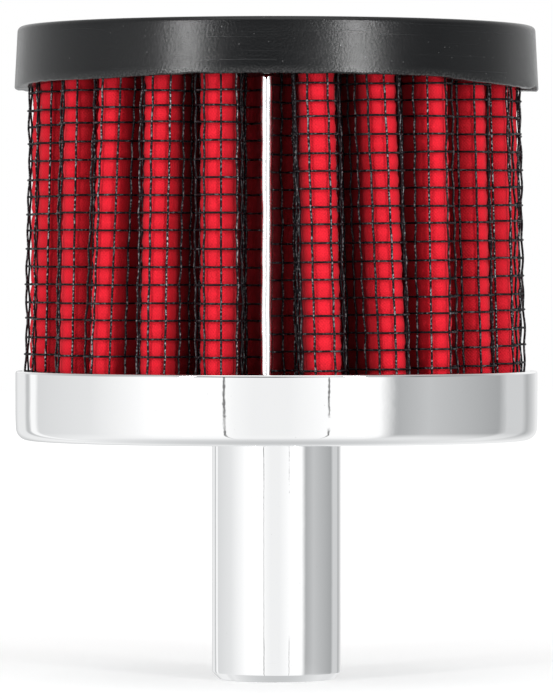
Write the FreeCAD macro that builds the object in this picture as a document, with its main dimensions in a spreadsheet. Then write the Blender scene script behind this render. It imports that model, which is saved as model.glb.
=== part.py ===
"""Crankcase breather filter: a pleated gauze element between a moulded cap and a pressed cup with a stub.

Millimetres, +Z up. The origin lies on the stub's axis at the underside of the cup, where the stub leaves it.
"""

import FreeCAD
import Part
import Sketcher
import math
import os
from enum import Enum, IntEnum

SIZES = (
    ("stub_outer_dia", 12.7, "push-in stub, outside"),
    ("stub_wall", 1.2, "wall of the stub round the vent bore"),
    ("stub_length", 23.6, "stub below the cup"),
    ("stub_chamfer", 0.75, "lead-in chamfer at the free end"),
    ("neck_step", 0.4, "how far the stub draws in where it passes through the floor of the cup"),
    ("lip_width", 0.8, "how far the rolled lip stands out from the stub, inside the cup"),
    ("lip_thickness", 0.6, "thickness of the rolled lip"),
    ("cup_outer_dia", 51.5, "pressed cup, outside"),
    ("cup_height", 6.8, "cup, from its underside to its rim"),
    ("cup_wall", 0.7, "sheet of the cup"),
    ("cup_corner_radius", 1.2, "outside corner between floor and wall"),
    ("potting_bed", 2.0, "cured potting under the pleats"),
    ("potting_width", 11.5, "potting, from the cup's wall inwards"),
    ("exposed_height", 28.2, "pleats between the cup's rim and the cap"),
    ("cap_overhang", 0.1, "cap's lower edge beyond the cup's wall"),
    ("cap_draft", 0.3, "how far the cap draws in from its lower edge to its top"),
    ("cap_height", 5.8, "cap, from its lower edge to its top"),
    ("cap_edge_radius", 0.6, "rounding of the cap's top edge"),
    ("cap_groove_depth", 2.5, "how far the pleats reach into the cap"),
    ("element_gap", 0.42, "between the outer screen and the cup's wall"),
    ("pleat_count", 26, "places round the element, one of them the seam"),
    ("pleat_depth", 7.5, "gauze from tip to valley floor"),
    ("pleat_tip_radius", 1.6, "outside of the gauze at a tip"),
    ("pleat_tip_thickness", 1.0, "gauze bunched at a tip"),
    ("pleat_valley_width", 1.6, "between two pleats near the valley floor"),
    ("media_thickness", 0.5, "pressed gauze plies together"),
    ("wire_dia", 0.28, "coated wire of the screens"),
    ("outer_window_rows", 2, "rows of openings in the outer screen"),
    ("inner_window_rows", 1, "rows of openings in the inner screen"),
    ("seam_gap", 0.05, "between the two gauze ends in the clip"),
    ("seam_turn", 2.4, "degrees from the front to the seam, clockwise from above"),
    ("clip_sheet", 0.2, "folded strip of the seam clip"),
    ("clip_depth", 4.0, "seam clip, from its mouth to its fold"),
    ("clip_recess", 0.8, "seam clip's fold inside the pleat tips"),
    ("fit_clearance", 0.05, "between pieces that nest"),
    ("groove_clearance", 0.25, "round the element in the groove of the cap"),
)

SHEET = "Sizes"
CUP_CORNER_FLATS = 2
CAP_EDGE_FLATS = 1
UP = FreeCAD.Vector(0, 0, 1)
ORIGIN = FreeCAD.Vector(0, 0, 0)


class At(IntEnum):
    """Points of a sketch edge, by the numbers that constraints use."""

    START = 1
    END = 2
    CENTRE = 3


class Axis(IntEnum):
    """The sketch's own axes, by the numbers that constraints use."""

    X = -1
    Y = -2


class Face(Enum):
    """The two faces of a folded strip."""

    OUTSIDE = "away from the stub's axis"
    INSIDE = "towards the stub's axis"


ORIGIN_POINT = (Axis.X, At.START)


class Size:
    """A number together with the sheet expression that gives it."""

    def __init__(self, number, words):
        self.number = number
        self.words = words

    def _with(self, sign, other, number):
        words = other.words if isinstance(other, Size) else str(other)
        return Size(number, f"({self.words} {sign} {words})")

    def __add__(self, other):
        return self._with("+", other, self.number + plain(other))

    def __sub__(self, other):
        return self._with("-", other, self.number - plain(other))

    def __mul__(self, other):
        return self._with("*", other, self.number * plain(other))

    def __truediv__(self, other):
        return self._with("/", other, self.number / plain(other))

    def __neg__(self):
        return Size(-self.number, f"(-{self.words})")


NOTHING = Size(0, "0")


def plain(value):
    """The number of a size, or a number as it is."""
    return value.number if isinstance(value, Size) else value


def tan(angle):
    """Tangent of an angle in degrees."""
    return Size(math.tan(math.radians(angle.number)), f"tan({angle.words})")


def cos(angle):
    """Cosine of an angle in degrees."""
    return Size(math.cos(math.radians(angle.number)), f"cos({angle.words})")


def spot(x, y):
    """A drawn point, from sizes or numbers."""
    return FreeCAD.Vector(plain(x), plain(y), 0)


def at_angle(radius, degrees):
    """The drawn point at a radius and an angle."""
    turn = math.radians(plain(degrees))
    return spot(plain(radius) * math.cos(turn), plain(radius) * math.sin(turn))


def crossing(first_normal, first_reach, second_normal, second_reach):
    """The point where two lines cross, each given by its normal and its distance from the origin."""
    a, b = math.cos(first_normal), math.sin(first_normal)
    c, d = math.cos(second_normal), math.sin(second_normal)
    whole = a * d - b * c
    return spot((first_reach * d - b * second_reach) / whole, (a * second_reach - c * first_reach) / whole)


class Drawing:
    """A sketch of one body: edges drawn at their size, then held by constraints that follow the sheet."""

    def __init__(self, body, name, plane="XY_Plane", turn=None, lift=None):
        self.sketch = body.newObject("Sketcher::SketchObject", name)
        support = next(f for f in body.Origin.OriginFeatures if f.Role == plane)
        self.sketch.AttachmentSupport = (support, [""])
        self.sketch.MapMode = "FlatFace"
        if turn is not None:
            self.sketch.AttachmentOffset = FreeCAD.Placement(ORIGIN, FreeCAD.Rotation(UP, turn.number))
            self.sketch.setExpression("AttachmentOffset.Rotation.Angle", turn.words)
        if lift is not None:
            self.sketch.setExpression("AttachmentOffset.Base.z", lift.words)

    def line(self, start, end, construction=False):
        """A straight edge between two points. Returns its number in the sketch."""
        return self.sketch.addGeometry(Part.LineSegment(start, end), construction)

    def circle(self, centre, radius):
        """A construction circle. Returns its number in the sketch."""
        return self.sketch.addGeometry(Part.Circle(centre, UP, plain(radius)), True)

    def arc(self, centre, radius, start_angle, end_angle):
        """An arc that runs anticlockwise between two angles in radians. Returns its number in the sketch."""
        whole = Part.Circle(centre, UP, plain(radius))
        return self.sketch.addGeometry(Part.ArcOfCircle(whole, start_angle, end_angle))

    def hold(self, kind, *places):
        """A constraint with no size, such as Coincident, Tangent or Parallel."""
        self.sketch.addConstraint(Sketcher.Constraint(kind, *(int(place) for place in places)))

    def measure(self, kind, *places, size):
        """A constraint whose size follows the sheet."""
        drawn = math.radians(size.number) if kind == "Angle" else size.number
        places = (int(place) for place in places)
        number = self.sketch.addConstraint(Sketcher.Constraint(kind, *places, drawn))
        self.sketch.setExpression(f"Constraints[{number}]", size.words)

    def pin(self, place, point):
        """Holds one point of an edge at two sizes. Zero is an axis."""
        for size, kind, axis in ((point[0], "DistanceX", Axis.Y), (point[1], "DistanceY", Axis.X)):
            if plain(size) == 0:
                self.hold("PointOnObject", *place, axis)
            else:
                self.measure(kind, *ORIGIN_POINT, *place, size=size)

    def polygon(self, points):
        """A closed outline of straight edges through points of two sizes each."""
        corners = [spot(x, y) for x, y in points]
        edges = [self.line(a, b) for a, b in zip(corners, corners[1:] + corners[:1])]
        self.chain([(edge, At.START, At.END, False) for edge in edges])
        for edge, point in zip(edges, points):
            self.pin((edge, At.START), point)

    def chain(self, edges):
        """Joins edges into a closed outline. Each is (number, first end, last end, smooth into the next)."""
        for (edge, _, last, smooth), (following, first, _, _) in zip(edges, edges[1:] + edges[:1]):
            self.hold("Tangent" if smooth else "Coincident", edge, last, following, first)


class Element:
    """Radii, levels and directions that the gauze, the screens, the clip and their seats share."""

    def __init__(self, size):
        self.pitch_angle = Size(360 / size.pleat_count.number, f"(360 / {size.pleat_count.words})")
        self.half_angle = self.pitch_angle / 2
        self.seam_direction = -(size.seam_turn + 90)
        self.cup_inside = size.cup_outer_dia / 2 - size.cup_wall
        self.screen_outer = self.cup_inside - size.element_gap
        self.tip = self.screen_outer - size.wire_dia - size.fit_clearance
        self.tip_inside = self.tip - size.pleat_tip_thickness
        self.tip_centre = self.tip - size.pleat_tip_radius
        self.floor = self.tip - size.pleat_depth
        self.floor_inside = self.floor - size.media_thickness
        self.screen_inner = self.floor_inside - size.fit_clearance - size.wire_dia
        self.valley_radius = size.pleat_valley_width / 2
        self.valley_centre = self.floor + self.valley_radius
        self.bottom = size.cup_wall + size.potting_bed
        self.cap_bottom = size.cup_height + size.exposed_height
        self.top = self.cap_bottom + size.cap_groove_depth
        self.height = self.top - self.bottom
        self.leg_inside = size.seam_gap / 2
        self.leg_outside = self.leg_inside + size.media_thickness
        self.clip_inside = self.leg_outside + size.fit_clearance
        self.clip_outside = self.clip_inside + size.clip_sheet
        self.clip_fold = self.tip - size.clip_recess
        self.clip_mouth = self.clip_fold - size.clip_depth
        self.clip_bend = self.clip_fold - self.clip_outside

    def valley_point(self):
        """The drawn centre of the valley's round, halfway between two places."""
        return at_angle(self.valley_centre, self.half_angle)

    def flank_normal(self, size):
        """Direction in radians of a flank's normal. The flank touches the tip's and the valley's rounds."""
        across = self.valley_point() - at_angle(self.tip_centre, 0)
        reach = plain(size.pleat_tip_radius) + plain(self.valley_radius)
        return math.atan2(across.y, across.x) - math.acos(reach / across.Length)

    def leg_normal(self):
        """Direction in radians of a seam leg's normal. The leg leaves the valley's round for the clip."""
        across = spot(self.clip_mouth, self.leg_outside) - self.valley_point()
        return math.atan2(across.y, across.x) + math.acos(-plain(self.valley_radius) / across.Length)


class Fold:
    """How a strip is folded: its faces' distances from the gauze's outside, its tips and its floors."""

    def __init__(self, offsets, tips, floors, thickness, round_tip=False):
        self.offset = dict(zip(Face, offsets))
        self.tip = dict(zip(Face, tips))
        self.floor = dict(zip(Face, floors))
        self.thickness = thickness
        self.round_tip = round_tip


class Tail:
    """Where a strip ends at the seam: inside the clip, or short of its mouth."""

    def __init__(self, end, into_clip):
        self.end = end
        self.into_clip = into_clip


def make_sheet(doc):
    """Writes the driving dimensions to a spreadsheet and returns them as sizes, by name."""
    sheet = doc.addObject("Spreadsheet::Sheet", SHEET)
    named = type("Sizes", (), {})()
    for row, (name, value, note) in enumerate(SIZES, start=1):
        sheet.set(f"A{row}", name)
        sheet.set(f"B{row}", str(value))
        sheet.set(f"C{row}", note)
        sheet.setAlias(f"B{row}", name)
        setattr(named, name, Size(value, f"{SHEET}.{name}"))
    doc.recompute()
    return named


def new_body(doc, name):
    """An empty body whose label names its file."""
    body = doc.addObject("PartDesign::Body", name)
    body.Label = name
    return body


def seat_element_piece(body, element):
    """Stands a piece of the element on its bed, with the seam turned to its place."""
    body.Placement = FreeCAD.Placement(
        FreeCAD.Vector(0, 0, element.bottom.number), FreeCAD.Rotation(UP, element.seam_direction.number)
    )
    body.setExpression("Placement.Base.z", element.bottom.words)
    body.setExpression("Placement.Rotation.Angle", element.seam_direction.words)


def pad(body, name, drawing, length):
    """A straight extrusion of a drawing along +Z."""
    feature = body.newObject("PartDesign::Pad", name)
    feature.Profile = drawing.sketch
    feature.setExpression("Length", length.words)
    return feature


def mirror_over(body, name, drawing, original):
    """Adds the mirror image of a feature over its drawing's horizontal axis."""
    feature = body.newObject("PartDesign::Mirrored", name)
    feature.Originals = [original]
    feature.MirrorPlane = (drawing.sketch, ["H_Axis"])
    body.Tip = feature
    body.Document.recompute()


def round_the_element(body, name, originals, element, count):
    """Repeats features round the stub's axis at the pleat pitch."""
    feature = body.newObject("PartDesign::PolarPattern", name)
    feature.Originals = originals
    feature.Axis = (next(f for f in body.Origin.OriginFeatures if f.Role == "Z_Axis"), [""])
    feature.Mode = "Spacing"
    feature.setExpression("Offset", element.pitch_angle.words)
    feature.setExpression("Occurrences", count.words)
    body.Tip = feature
    return feature


def turned(body, name, points):
    """A full turn of an outline of (radius, height) points about the stub's axis."""
    drawing = Drawing(body, f"{name}_section", "XZ_Plane")
    drawing.polygon(points)
    feature = body.newObject("PartDesign::Revolution", name)
    feature.Profile = drawing.sketch
    feature.ReferenceAxis = (drawing.sketch, ["V_Axis"])
    feature.Angle = 360


def corner(radius, height, rounding, first_angle, last_angle, flats):
    """Points of a rounded corner in flats, about a centre at a radius and a height. Angles are in degrees."""
    points = []
    for step in range(flats + 1):
        angle = math.radians(first_angle + (last_angle - first_angle) * step / flats)
        points.append((radius + rounding * math.cos(angle), height + rounding * math.sin(angle)))
    return points


def hold_valley_line(drawing, element, centred):
    """Draws the line halfway between two places, ending at the valley round's centre. Returns it."""
    line = drawing.line(ORIGIN, element.valley_point(), True)
    drawing.hold("Coincident", line, At.START, *ORIGIN_POINT)
    drawing.measure("Angle", line, size=element.half_angle)
    drawing.measure("Distance", line, size=element.valley_centre)
    drawing.hold("Coincident", line, At.END, centred, At.CENTRE)
    return line


def hold_floor(drawing, floor, end, middle, radius):
    """Squares a floor edge to the line between two places, at its distance from the stub's axis."""
    drawing.hold("Perpendicular", floor, middle)
    drawing.hold("PointOnObject", floor, end, middle)
    drawing.measure("Distance", *ORIGIN_POINT, floor, end, size=radius)


def hold_thickness(drawing, outside, inside, inside_end, thickness):
    """Keeps the two faces of a strip parallel and apart."""
    drawing.hold("Parallel", inside, outside)
    drawing.measure("Distance", inside, inside_end, outside, size=thickness)


def draw_half_fold(drawing, element, size, fold):
    """Half a fold, from the middle of its tip down the flank to the middle of the valley floor."""
    normal = element.flank_normal(size)
    between = math.radians(element.half_angle.number)
    centre = at_angle(element.tip_centre, 0)
    middle_point = {face: at_angle(radius, element.half_angle) for face, radius in fold.floor.items()}
    tip_point = {face: spot(x, 0) for face, x in fold.tip.items()}
    tip_corner, floor_corner = {}, {}
    for face in Face:
        reach = centre.x * math.cos(normal) + plain(size.pleat_tip_radius) + fold.offset[face].number
        tip_corner[face] = crossing(0, fold.tip[face].number, normal, reach)
        floor_corner[face] = crossing(between, fold.floor[face].number, normal, reach)
    tip_round_size = size.pleat_tip_radius + fold.offset[Face.OUTSIDE]
    valley_round_size = element.valley_radius - fold.offset[Face.OUTSIDE]

    if fold.round_tip:
        outer_tip = drawing.arc(centre, tip_round_size, 0, normal)
        tip_corner[Face.OUTSIDE] = centre + at_angle(tip_round_size, math.degrees(normal))
        tip_round = outer_tip
    else:
        outer_tip = drawing.line(tip_point[Face.OUTSIDE], tip_corner[Face.OUTSIDE])
        tip_round = drawing.circle(centre, tip_round_size)
    outer_flank = drawing.line(tip_corner[Face.OUTSIDE], floor_corner[Face.OUTSIDE])
    outer_floor = drawing.line(floor_corner[Face.OUTSIDE], middle_point[Face.OUTSIDE])
    floor_end = drawing.line(middle_point[Face.OUTSIDE], middle_point[Face.INSIDE])
    inner_floor = drawing.line(middle_point[Face.INSIDE], floor_corner[Face.INSIDE])
    inner_flank = drawing.line(floor_corner[Face.INSIDE], tip_corner[Face.INSIDE])
    inner_tip = drawing.line(tip_corner[Face.INSIDE], tip_point[Face.INSIDE])
    tip_end = drawing.line(tip_point[Face.INSIDE], tip_point[Face.OUTSIDE])
    valley_round = drawing.circle(element.valley_point(), valley_round_size)

    straight = (outer_flank, outer_floor, floor_end, inner_floor, inner_flank, inner_tip, tip_end)
    outline = [(outer_tip, At.START, At.END, fold.round_tip)]
    outline += [(edge, At.START, At.END, False) for edge in straight]
    drawing.chain(outline)
    middle = hold_valley_line(drawing, element, valley_round)
    drawing.measure("Radius", valley_round, size=valley_round_size)
    drawing.measure("Radius", tip_round, size=tip_round_size)
    drawing.hold("Tangent", outer_flank, valley_round)
    hold_thickness(drawing, outer_flank, inner_flank, At.END, fold.thickness)
    hold_floor(drawing, outer_floor, At.END, middle, fold.floor[Face.OUTSIDE])
    hold_floor(drawing, inner_floor, At.START, middle, fold.floor[Face.INSIDE])
    drawing.hold("Vertical", inner_tip)
    drawing.pin((tip_end, At.START), (fold.tip[Face.INSIDE], 0))
    drawing.pin((tip_end, At.END), (fold.tip[Face.OUTSIDE], 0))
    if fold.round_tip:
        drawing.hold("PointOnObject", tip_round, At.CENTRE, Axis.X)
    else:
        drawing.hold("Vertical", outer_tip)
        drawing.hold("Tangent", outer_flank, tip_round)
        drawing.pin((tip_round, At.CENTRE), (element.tip_centre, 0))


def draw_seam_leg(drawing, element, fold, tail):
    """One end of a strip, from the valley beside the seam to the clip's mouth, or on into the clip."""
    normal = element.leg_normal()
    between = math.radians(element.half_angle.number)
    valley = element.valley_point()
    middle_point = {face: at_angle(radius, element.half_angle) for face, radius in fold.floor.items()}
    level = {Face.OUTSIDE: element.leg_outside, Face.INSIDE: element.leg_inside}
    floor_corner, mouth_corner = {}, {}
    for face in Face:
        reach = valley.x * math.cos(normal) + valley.y * math.sin(normal)
        reach += fold.offset[face].number - plain(element.valley_radius)
        floor_corner[face] = crossing(between, fold.floor[face].number, normal, reach)
        if tail.into_clip:
            mouth_corner[face] = crossing(math.pi / 2, level[face].number, normal, reach)
        else:
            mouth_corner[face] = crossing(0, tail.end.number, normal, reach)

    outer_floor = drawing.line(middle_point[Face.OUTSIDE], floor_corner[Face.OUTSIDE])
    outer_leg = drawing.line(floor_corner[Face.OUTSIDE], mouth_corner[Face.OUTSIDE])
    outline = [outer_floor, outer_leg]
    if tail.into_clip:
        tail_point = {face: spot(tail.end, level[face]) for face in Face}
        outer_tail = drawing.line(mouth_corner[Face.OUTSIDE], tail_point[Face.OUTSIDE])
        tail_end = drawing.line(tail_point[Face.OUTSIDE], tail_point[Face.INSIDE])
        inner_tail = drawing.line(tail_point[Face.INSIDE], mouth_corner[Face.INSIDE])
        outline += [outer_tail, tail_end, inner_tail]
        drawing.hold("Horizontal", inner_tail)
        drawing.pin((tail_end, At.START), (tail.end, element.leg_outside))
        drawing.pin((tail_end, At.END), (tail.end, element.leg_inside))
        drawing.pin((outer_tail, At.START), (element.clip_mouth, element.leg_outside))
    else:
        stop = drawing.line(mouth_corner[Face.OUTSIDE], mouth_corner[Face.INSIDE])
        outline.append(stop)
        drawing.hold("Vertical", stop)
        drawing.measure("DistanceX", *ORIGIN_POINT, stop, At.START, size=tail.end)
    inner_leg = drawing.line(mouth_corner[Face.INSIDE], floor_corner[Face.INSIDE])
    inner_floor = drawing.line(floor_corner[Face.INSIDE], middle_point[Face.INSIDE])
    floor_end = drawing.line(middle_point[Face.INSIDE], middle_point[Face.OUTSIDE])
    outline += [inner_leg, inner_floor, floor_end]
    valley_round_size = element.valley_radius - fold.offset[Face.OUTSIDE]
    valley_round = drawing.circle(valley, valley_round_size)

    drawing.chain([(edge, At.START, At.END, False) for edge in outline])
    middle = hold_valley_line(drawing, element, valley_round)
    drawing.measure("Radius", valley_round, size=valley_round_size)
    drawing.hold("Tangent", outer_leg, valley_round)
    hold_thickness(drawing, outer_leg, inner_leg, At.END, fold.thickness)
    hold_floor(drawing, outer_floor, At.START, middle, fold.floor[Face.OUTSIDE])
    hold_floor(drawing, inner_floor, At.END, middle, fold.floor[Face.INSIDE])
    if not tail.into_clip:
        mouth_round = drawing.circle(spot(element.clip_mouth, element.leg_outside), fold.offset[Face.OUTSIDE])
        drawing.pin((mouth_round, At.CENTRE), (element.clip_mouth, element.leg_outside))
        drawing.measure("Radius", mouth_round, size=fold.offset[Face.OUTSIDE])
        drawing.hold("Tangent", outer_leg, mouth_round)


def fold_strip(body, size, element, fold, tail=None):
    """Pads a folded strip right round the element, and its two ends at the seam."""
    strip = Drawing(body, "half_fold", turn=element.pitch_angle)
    draw_half_fold(strip, element, size, fold)
    half = pad(body, "half_fold_pad", strip, element.height)
    mirror_over(body, "whole_fold", strip, half)
    folds = round_the_element(body, "folds", [half], element, size.pleat_count - 1)
    folds.TransformMode = "Whole shape"
    body.Document.recompute()
    if tail is not None:
        leg = Drawing(body, "seam_leg")
        draw_seam_leg(leg, element, fold, tail)
        mirror_over(body, "second_leg", leg, pad(body, "seam_leg_pad", leg, element.height))


def cut_windows(body, element, size, rows, fold):
    """Cuts rows of openings through a screen, leaving a hoop between rows and an upright at every tip."""
    pitch = (size.exposed_height - size.wire_dia) / rows
    first = size.cup_height - element.bottom + size.wire_dia
    inmost = fold.floor[Face.INSIDE] - size.wire_dia
    outmost = fold.tip[Face.OUTSIDE] + size.wire_dia
    upright = size.wire_dia / 2 / cos(element.half_angle)
    near_side = inmost * tan(element.half_angle) - upright
    far_side = outmost * tan(element.half_angle) - upright
    pockets = []
    for row in range(int(rows.number)):
        window = Drawing(body, f"window_{row + 1}", turn=element.half_angle, lift=first + pitch * row)
        window.polygon(((inmost, -near_side), (outmost, -far_side), (outmost, far_side), (inmost, near_side)))
        pocket = body.newObject("PartDesign::Pocket", f"window_{row + 1}_cut")
        pocket.Profile = window.sketch
        pocket.Reversed = True
        pocket.setExpression("Length", (pitch - size.wire_dia).words)
        pockets.append(pocket)
    round_the_element(body, "windows", pockets, element, size.pleat_count)


def make_filter_media(doc, size, element):
    """Pressed cotton gauze, folded into pleats, its two ends standing together in the clip."""
    body = new_body(doc, "filter_media")
    fold = Fold(
        offsets=(NOTHING, -size.media_thickness),
        tips=(element.tip, element.tip_inside),
        floors=(element.floor, element.floor_inside),
        thickness=size.media_thickness,
        round_tip=True,
    )
    fold_strip(body, size, element, fold, Tail(element.clip_bend, into_clip=True))
    seat_element_piece(body, element)
    return body


def make_outer_screen(doc, size, element):
    """The wire screen over the gauze. Its ends reach the clip, and its edges in cup and cap stay whole."""
    body = new_body(doc, "outer_screen")
    face = size.fit_clearance
    fold = Fold(
        offsets=(face + size.wire_dia, face),
        tips=(element.screen_outer, element.tip + face),
        floors=(element.floor + face + size.wire_dia, element.floor + face),
        thickness=size.wire_dia,
    )
    fold_strip(body, size, element, fold, Tail(element.clip_mouth - face, into_clip=False))
    cut_windows(body, element, size, size.outer_window_rows, fold)
    seat_element_piece(body, element)
    return body


def make_inner_screen(doc, size, element):
    """The wire screen inside the gauze, whose two ends stop in the valleys beside the seam."""
    body = new_body(doc, "inner_screen")
    face = -(size.media_thickness + size.fit_clearance)
    tip = element.tip_inside - size.fit_clearance
    fold = Fold(
        offsets=(face, face - size.wire_dia),
        tips=(tip, tip - size.wire_dia),
        floors=(element.floor_inside - size.fit_clearance, element.screen_inner),
        thickness=size.wire_dia,
    )
    fold_strip(body, size, element, fold)
    cut_windows(body, element, size, size.inner_window_rows, fold)
    seat_element_piece(body, element)
    return body


def make_seam_clip(doc, size, element):
    """A strip folded lengthwise and crimped over the two ends of the gauze."""
    body = new_body(doc, "seam_clip")
    drawing = Drawing(body, "fold")
    bend, mouth = element.clip_bend, element.clip_mouth
    outside, inside = element.clip_outside, element.clip_inside
    quarter = math.pi / 2
    outer_bend = drawing.arc(spot(bend, 0), outside, -quarter, quarter)
    first_outside = drawing.line(spot(bend, outside), spot(mouth, outside))
    first_edge = drawing.line(spot(mouth, outside), spot(mouth, inside))
    first_inside = drawing.line(spot(mouth, inside), spot(bend, inside))
    inner_bend = drawing.arc(spot(bend, 0), inside, -quarter, quarter)
    second_inside = drawing.line(spot(bend, -inside), spot(mouth, -inside))
    second_edge = drawing.line(spot(mouth, -inside), spot(mouth, -outside))
    second_outside = drawing.line(spot(mouth, -outside), spot(bend, -outside))

    drawing.chain([
        (outer_bend, At.START, At.END, True),
        (first_outside, At.START, At.END, False),
        (first_edge, At.START, At.END, False),
        (first_inside, At.START, At.END, True),
        (inner_bend, At.END, At.START, True),
        (second_inside, At.START, At.END, False),
        (second_edge, At.START, At.END, False),
        (second_outside, At.START, At.END, True),
    ])
    drawing.hold("Coincident", inner_bend, At.CENTRE, outer_bend, At.CENTRE)
    drawing.pin((outer_bend, At.CENTRE), (bend, 0))
    drawing.measure("Radius", outer_bend, size=outside)
    drawing.measure("Radius", inner_bend, size=inside)
    for leg in (first_outside, first_inside, second_inside, second_outside):
        drawing.hold("Horizontal", leg)
    for edge in (first_edge, second_edge):
        for end in (At.START, At.END):
            drawing.measure("DistanceX", *ORIGIN_POINT, edge, end, size=mouth)
    pad(body, "folded_strip", drawing, element.height)
    seat_element_piece(body, element)
    return body


def make_top_cap(doc, size, element):
    """The moulded cap, with a ring groove underneath that holds the top of the element."""
    body = new_body(doc, "top_cap")
    top = element.cap_bottom + size.cap_height
    lower = size.cup_outer_dia / 2 + size.cap_overhang
    upper = lower - size.cap_draft
    groove_outside = element.screen_outer + size.groove_clearance
    groove_inside = element.screen_inner - size.groove_clearance
    rounding = size.cap_edge_radius
    turned(body, "cap", [
        (0, element.cap_bottom),
        (groove_inside, element.cap_bottom),
        (groove_inside, element.top),
        (groove_outside, element.top),
        (groove_outside, element.cap_bottom),
        (lower, element.cap_bottom),
        *corner(upper - rounding, top - rounding, rounding, 0, 90, CAP_EDGE_FLATS),
        (0, top),
    ])
    return body


def make_potting_ring(doc, size, element):
    """Cured potting on the floor of the cup, under the pleats."""
    body = new_body(doc, "potting_ring")
    outer = element.cup_inside - size.fit_clearance
    inner = outer - size.potting_width
    turned(body, "potting", [
        (inner, size.cup_wall),
        (outer, size.cup_wall),
        (outer, element.bottom),
        (inner, element.bottom),
    ])
    return body


def make_base_cup(doc, size, element):
    """The pressed cup, with a hole in its floor for the stub."""
    body = new_body(doc, "base_cup")
    outer = size.cup_outer_dia / 2
    hole = size.stub_outer_dia / 2 - size.neck_step + size.fit_clearance
    rounding = size.cup_corner_radius
    turned(body, "cup", [
        (hole, 0),
        *corner(outer - rounding, rounding, rounding, -90, 0, CUP_CORNER_FLATS),
        (outer, size.cup_height),
        (element.cup_inside, size.cup_height),
        (element.cup_inside, size.cup_wall),
        (hole, size.cup_wall),
    ])
    return body


def make_stub_tube(doc, size):
    """The push-in stub: a tube seated against the cup, with a neck and a rolled lip that hold it there."""
    body = new_body(doc, "stub_tube")
    outer = size.stub_outer_dia / 2
    bore = outer - size.stub_wall
    neck = outer - size.neck_step
    lip = outer + size.lip_width
    lip_top = size.cup_wall + size.lip_thickness
    turned(body, "tube", [
        (bore, -size.stub_length),
        (outer - size.stub_chamfer, -size.stub_length),
        (outer, size.stub_chamfer - size.stub_length),
        (outer, 0),
        (neck, 0),
        (neck, size.cup_wall),
        (lip, size.cup_wall),
        (lip, lip_top),
        (bore, lip_top),
    ])
    return body


def check(doc):
    """Stops the build when a feature has failed or a shape is broken."""
    for thing in doc.Objects:
        if "Invalid" in thing.State or "Error" in thing.State:
            raise RuntimeError(f"{thing.Label} did not build: {thing.State}")
    for body in doc.findObjects("PartDesign::Body"):
        if body.Shape.isNull() or not body.Shape.isValid() or len(body.Shape.Solids) != 1:
            raise RuntimeError(f"{body.Label} is not one sound solid")


def main():
    """Builds every piece, checks it and writes its file."""
    doc = FreeCAD.newDocument("breather_filter")
    size = make_sheet(doc)
    element = Element(size)
    pieces = [
        make_filter_media(doc, size, element),
        make_outer_screen(doc, size, element),
        make_inner_screen(doc, size, element),
        make_seam_clip(doc, size, element),
        make_top_cap(doc, size, element),
        make_potting_ring(doc, size, element),
        make_base_cup(doc, size, element),
        make_stub_tube(doc, size),
    ]
    doc.recompute()
    check(doc)
    os.makedirs("parts", exist_ok=True)
    for piece in pieces:
        piece.Shape.exportStep(os.path.join("parts", f"{piece.Label}.step"))
        print(f"{piece.Label}: {piece.Shape.Volume:.1f} mm3")


main()
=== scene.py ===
"""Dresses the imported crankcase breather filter: gauze, woven screens, cast cap, chromed cup and stub."""

import logging
import math
from dataclasses import dataclass, field
from enum import Enum, IntEnum
from typing import Sequence, Union

import bmesh
import bpy
import numpy as np
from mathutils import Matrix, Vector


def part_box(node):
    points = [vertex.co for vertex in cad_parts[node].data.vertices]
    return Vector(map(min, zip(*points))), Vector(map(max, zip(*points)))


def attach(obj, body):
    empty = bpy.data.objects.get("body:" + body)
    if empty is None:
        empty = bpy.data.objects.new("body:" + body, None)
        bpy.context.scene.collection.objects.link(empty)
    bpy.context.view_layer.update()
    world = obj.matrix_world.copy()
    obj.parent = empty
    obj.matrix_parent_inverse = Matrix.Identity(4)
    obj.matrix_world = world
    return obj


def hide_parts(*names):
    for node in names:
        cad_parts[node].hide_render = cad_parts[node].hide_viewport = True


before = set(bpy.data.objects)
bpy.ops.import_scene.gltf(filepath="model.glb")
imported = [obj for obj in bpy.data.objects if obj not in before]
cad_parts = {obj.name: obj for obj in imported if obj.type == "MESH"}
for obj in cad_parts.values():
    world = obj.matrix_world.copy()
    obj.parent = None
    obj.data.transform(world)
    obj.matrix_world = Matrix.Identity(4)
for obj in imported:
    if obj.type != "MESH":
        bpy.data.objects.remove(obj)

Array = np.ndarray
Colour = tuple[float, float, float, float]
Faces = list[list[int]]
Material = bpy.types.Material
Node = bpy.types.Node
Pair = tuple[float, float]
Pairs = tuple[Pair, ...]
Row = tuple[float, ...]
Socket = bpy.types.NodeSocket
Tree = bpy.types.NodeTree
Value = Union[float, Colour, Socket]
Values = dict[Union[str, int], Value]

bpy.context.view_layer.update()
MM = 0.001
FRONT = -90.0
SEAM_TURN = FRONT - 2.4
UP = np.array([0.0, 0.0, 1.0])
WHOLE = (0.0, 1.0)
FADING = (1.0, 0.0)
COOL_GREEN = 0.4
COOL_BLUE = 0.6
LOG = logging.getLogger("breather_filter")


class Slot(Enum):
    """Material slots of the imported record."""

    CAP = "cap_urethane"
    POTTING = "potting_urethane"
    GAUZE = "oiled_gauze"
    WIRE = "coated_wire"
    CLIP = "clip_strip"
    CHROME = "plated_steel"


class Seed(IntEnum):
    """Starts of the random draws, fixed so that every run gives the same part."""

    CAP_EDGE = 3
    UPRIGHTS = 5
    FOLDS = 7
    CRUMPLE = 31
    SLACK = 41
    HOOP_RUB = 50
    CLIP_BOW = 61
    CLIP_PINCH = 62
    POTTING = 71
    UPRIGHT_RUB = 90
    ROW_STRAY = 100
    ROW_WAVE = 200


@dataclass(frozen=True)
class Relief:
    """How strongly a height shows as bump, and the height of a full step in metres."""

    strength: float
    step: float


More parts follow.
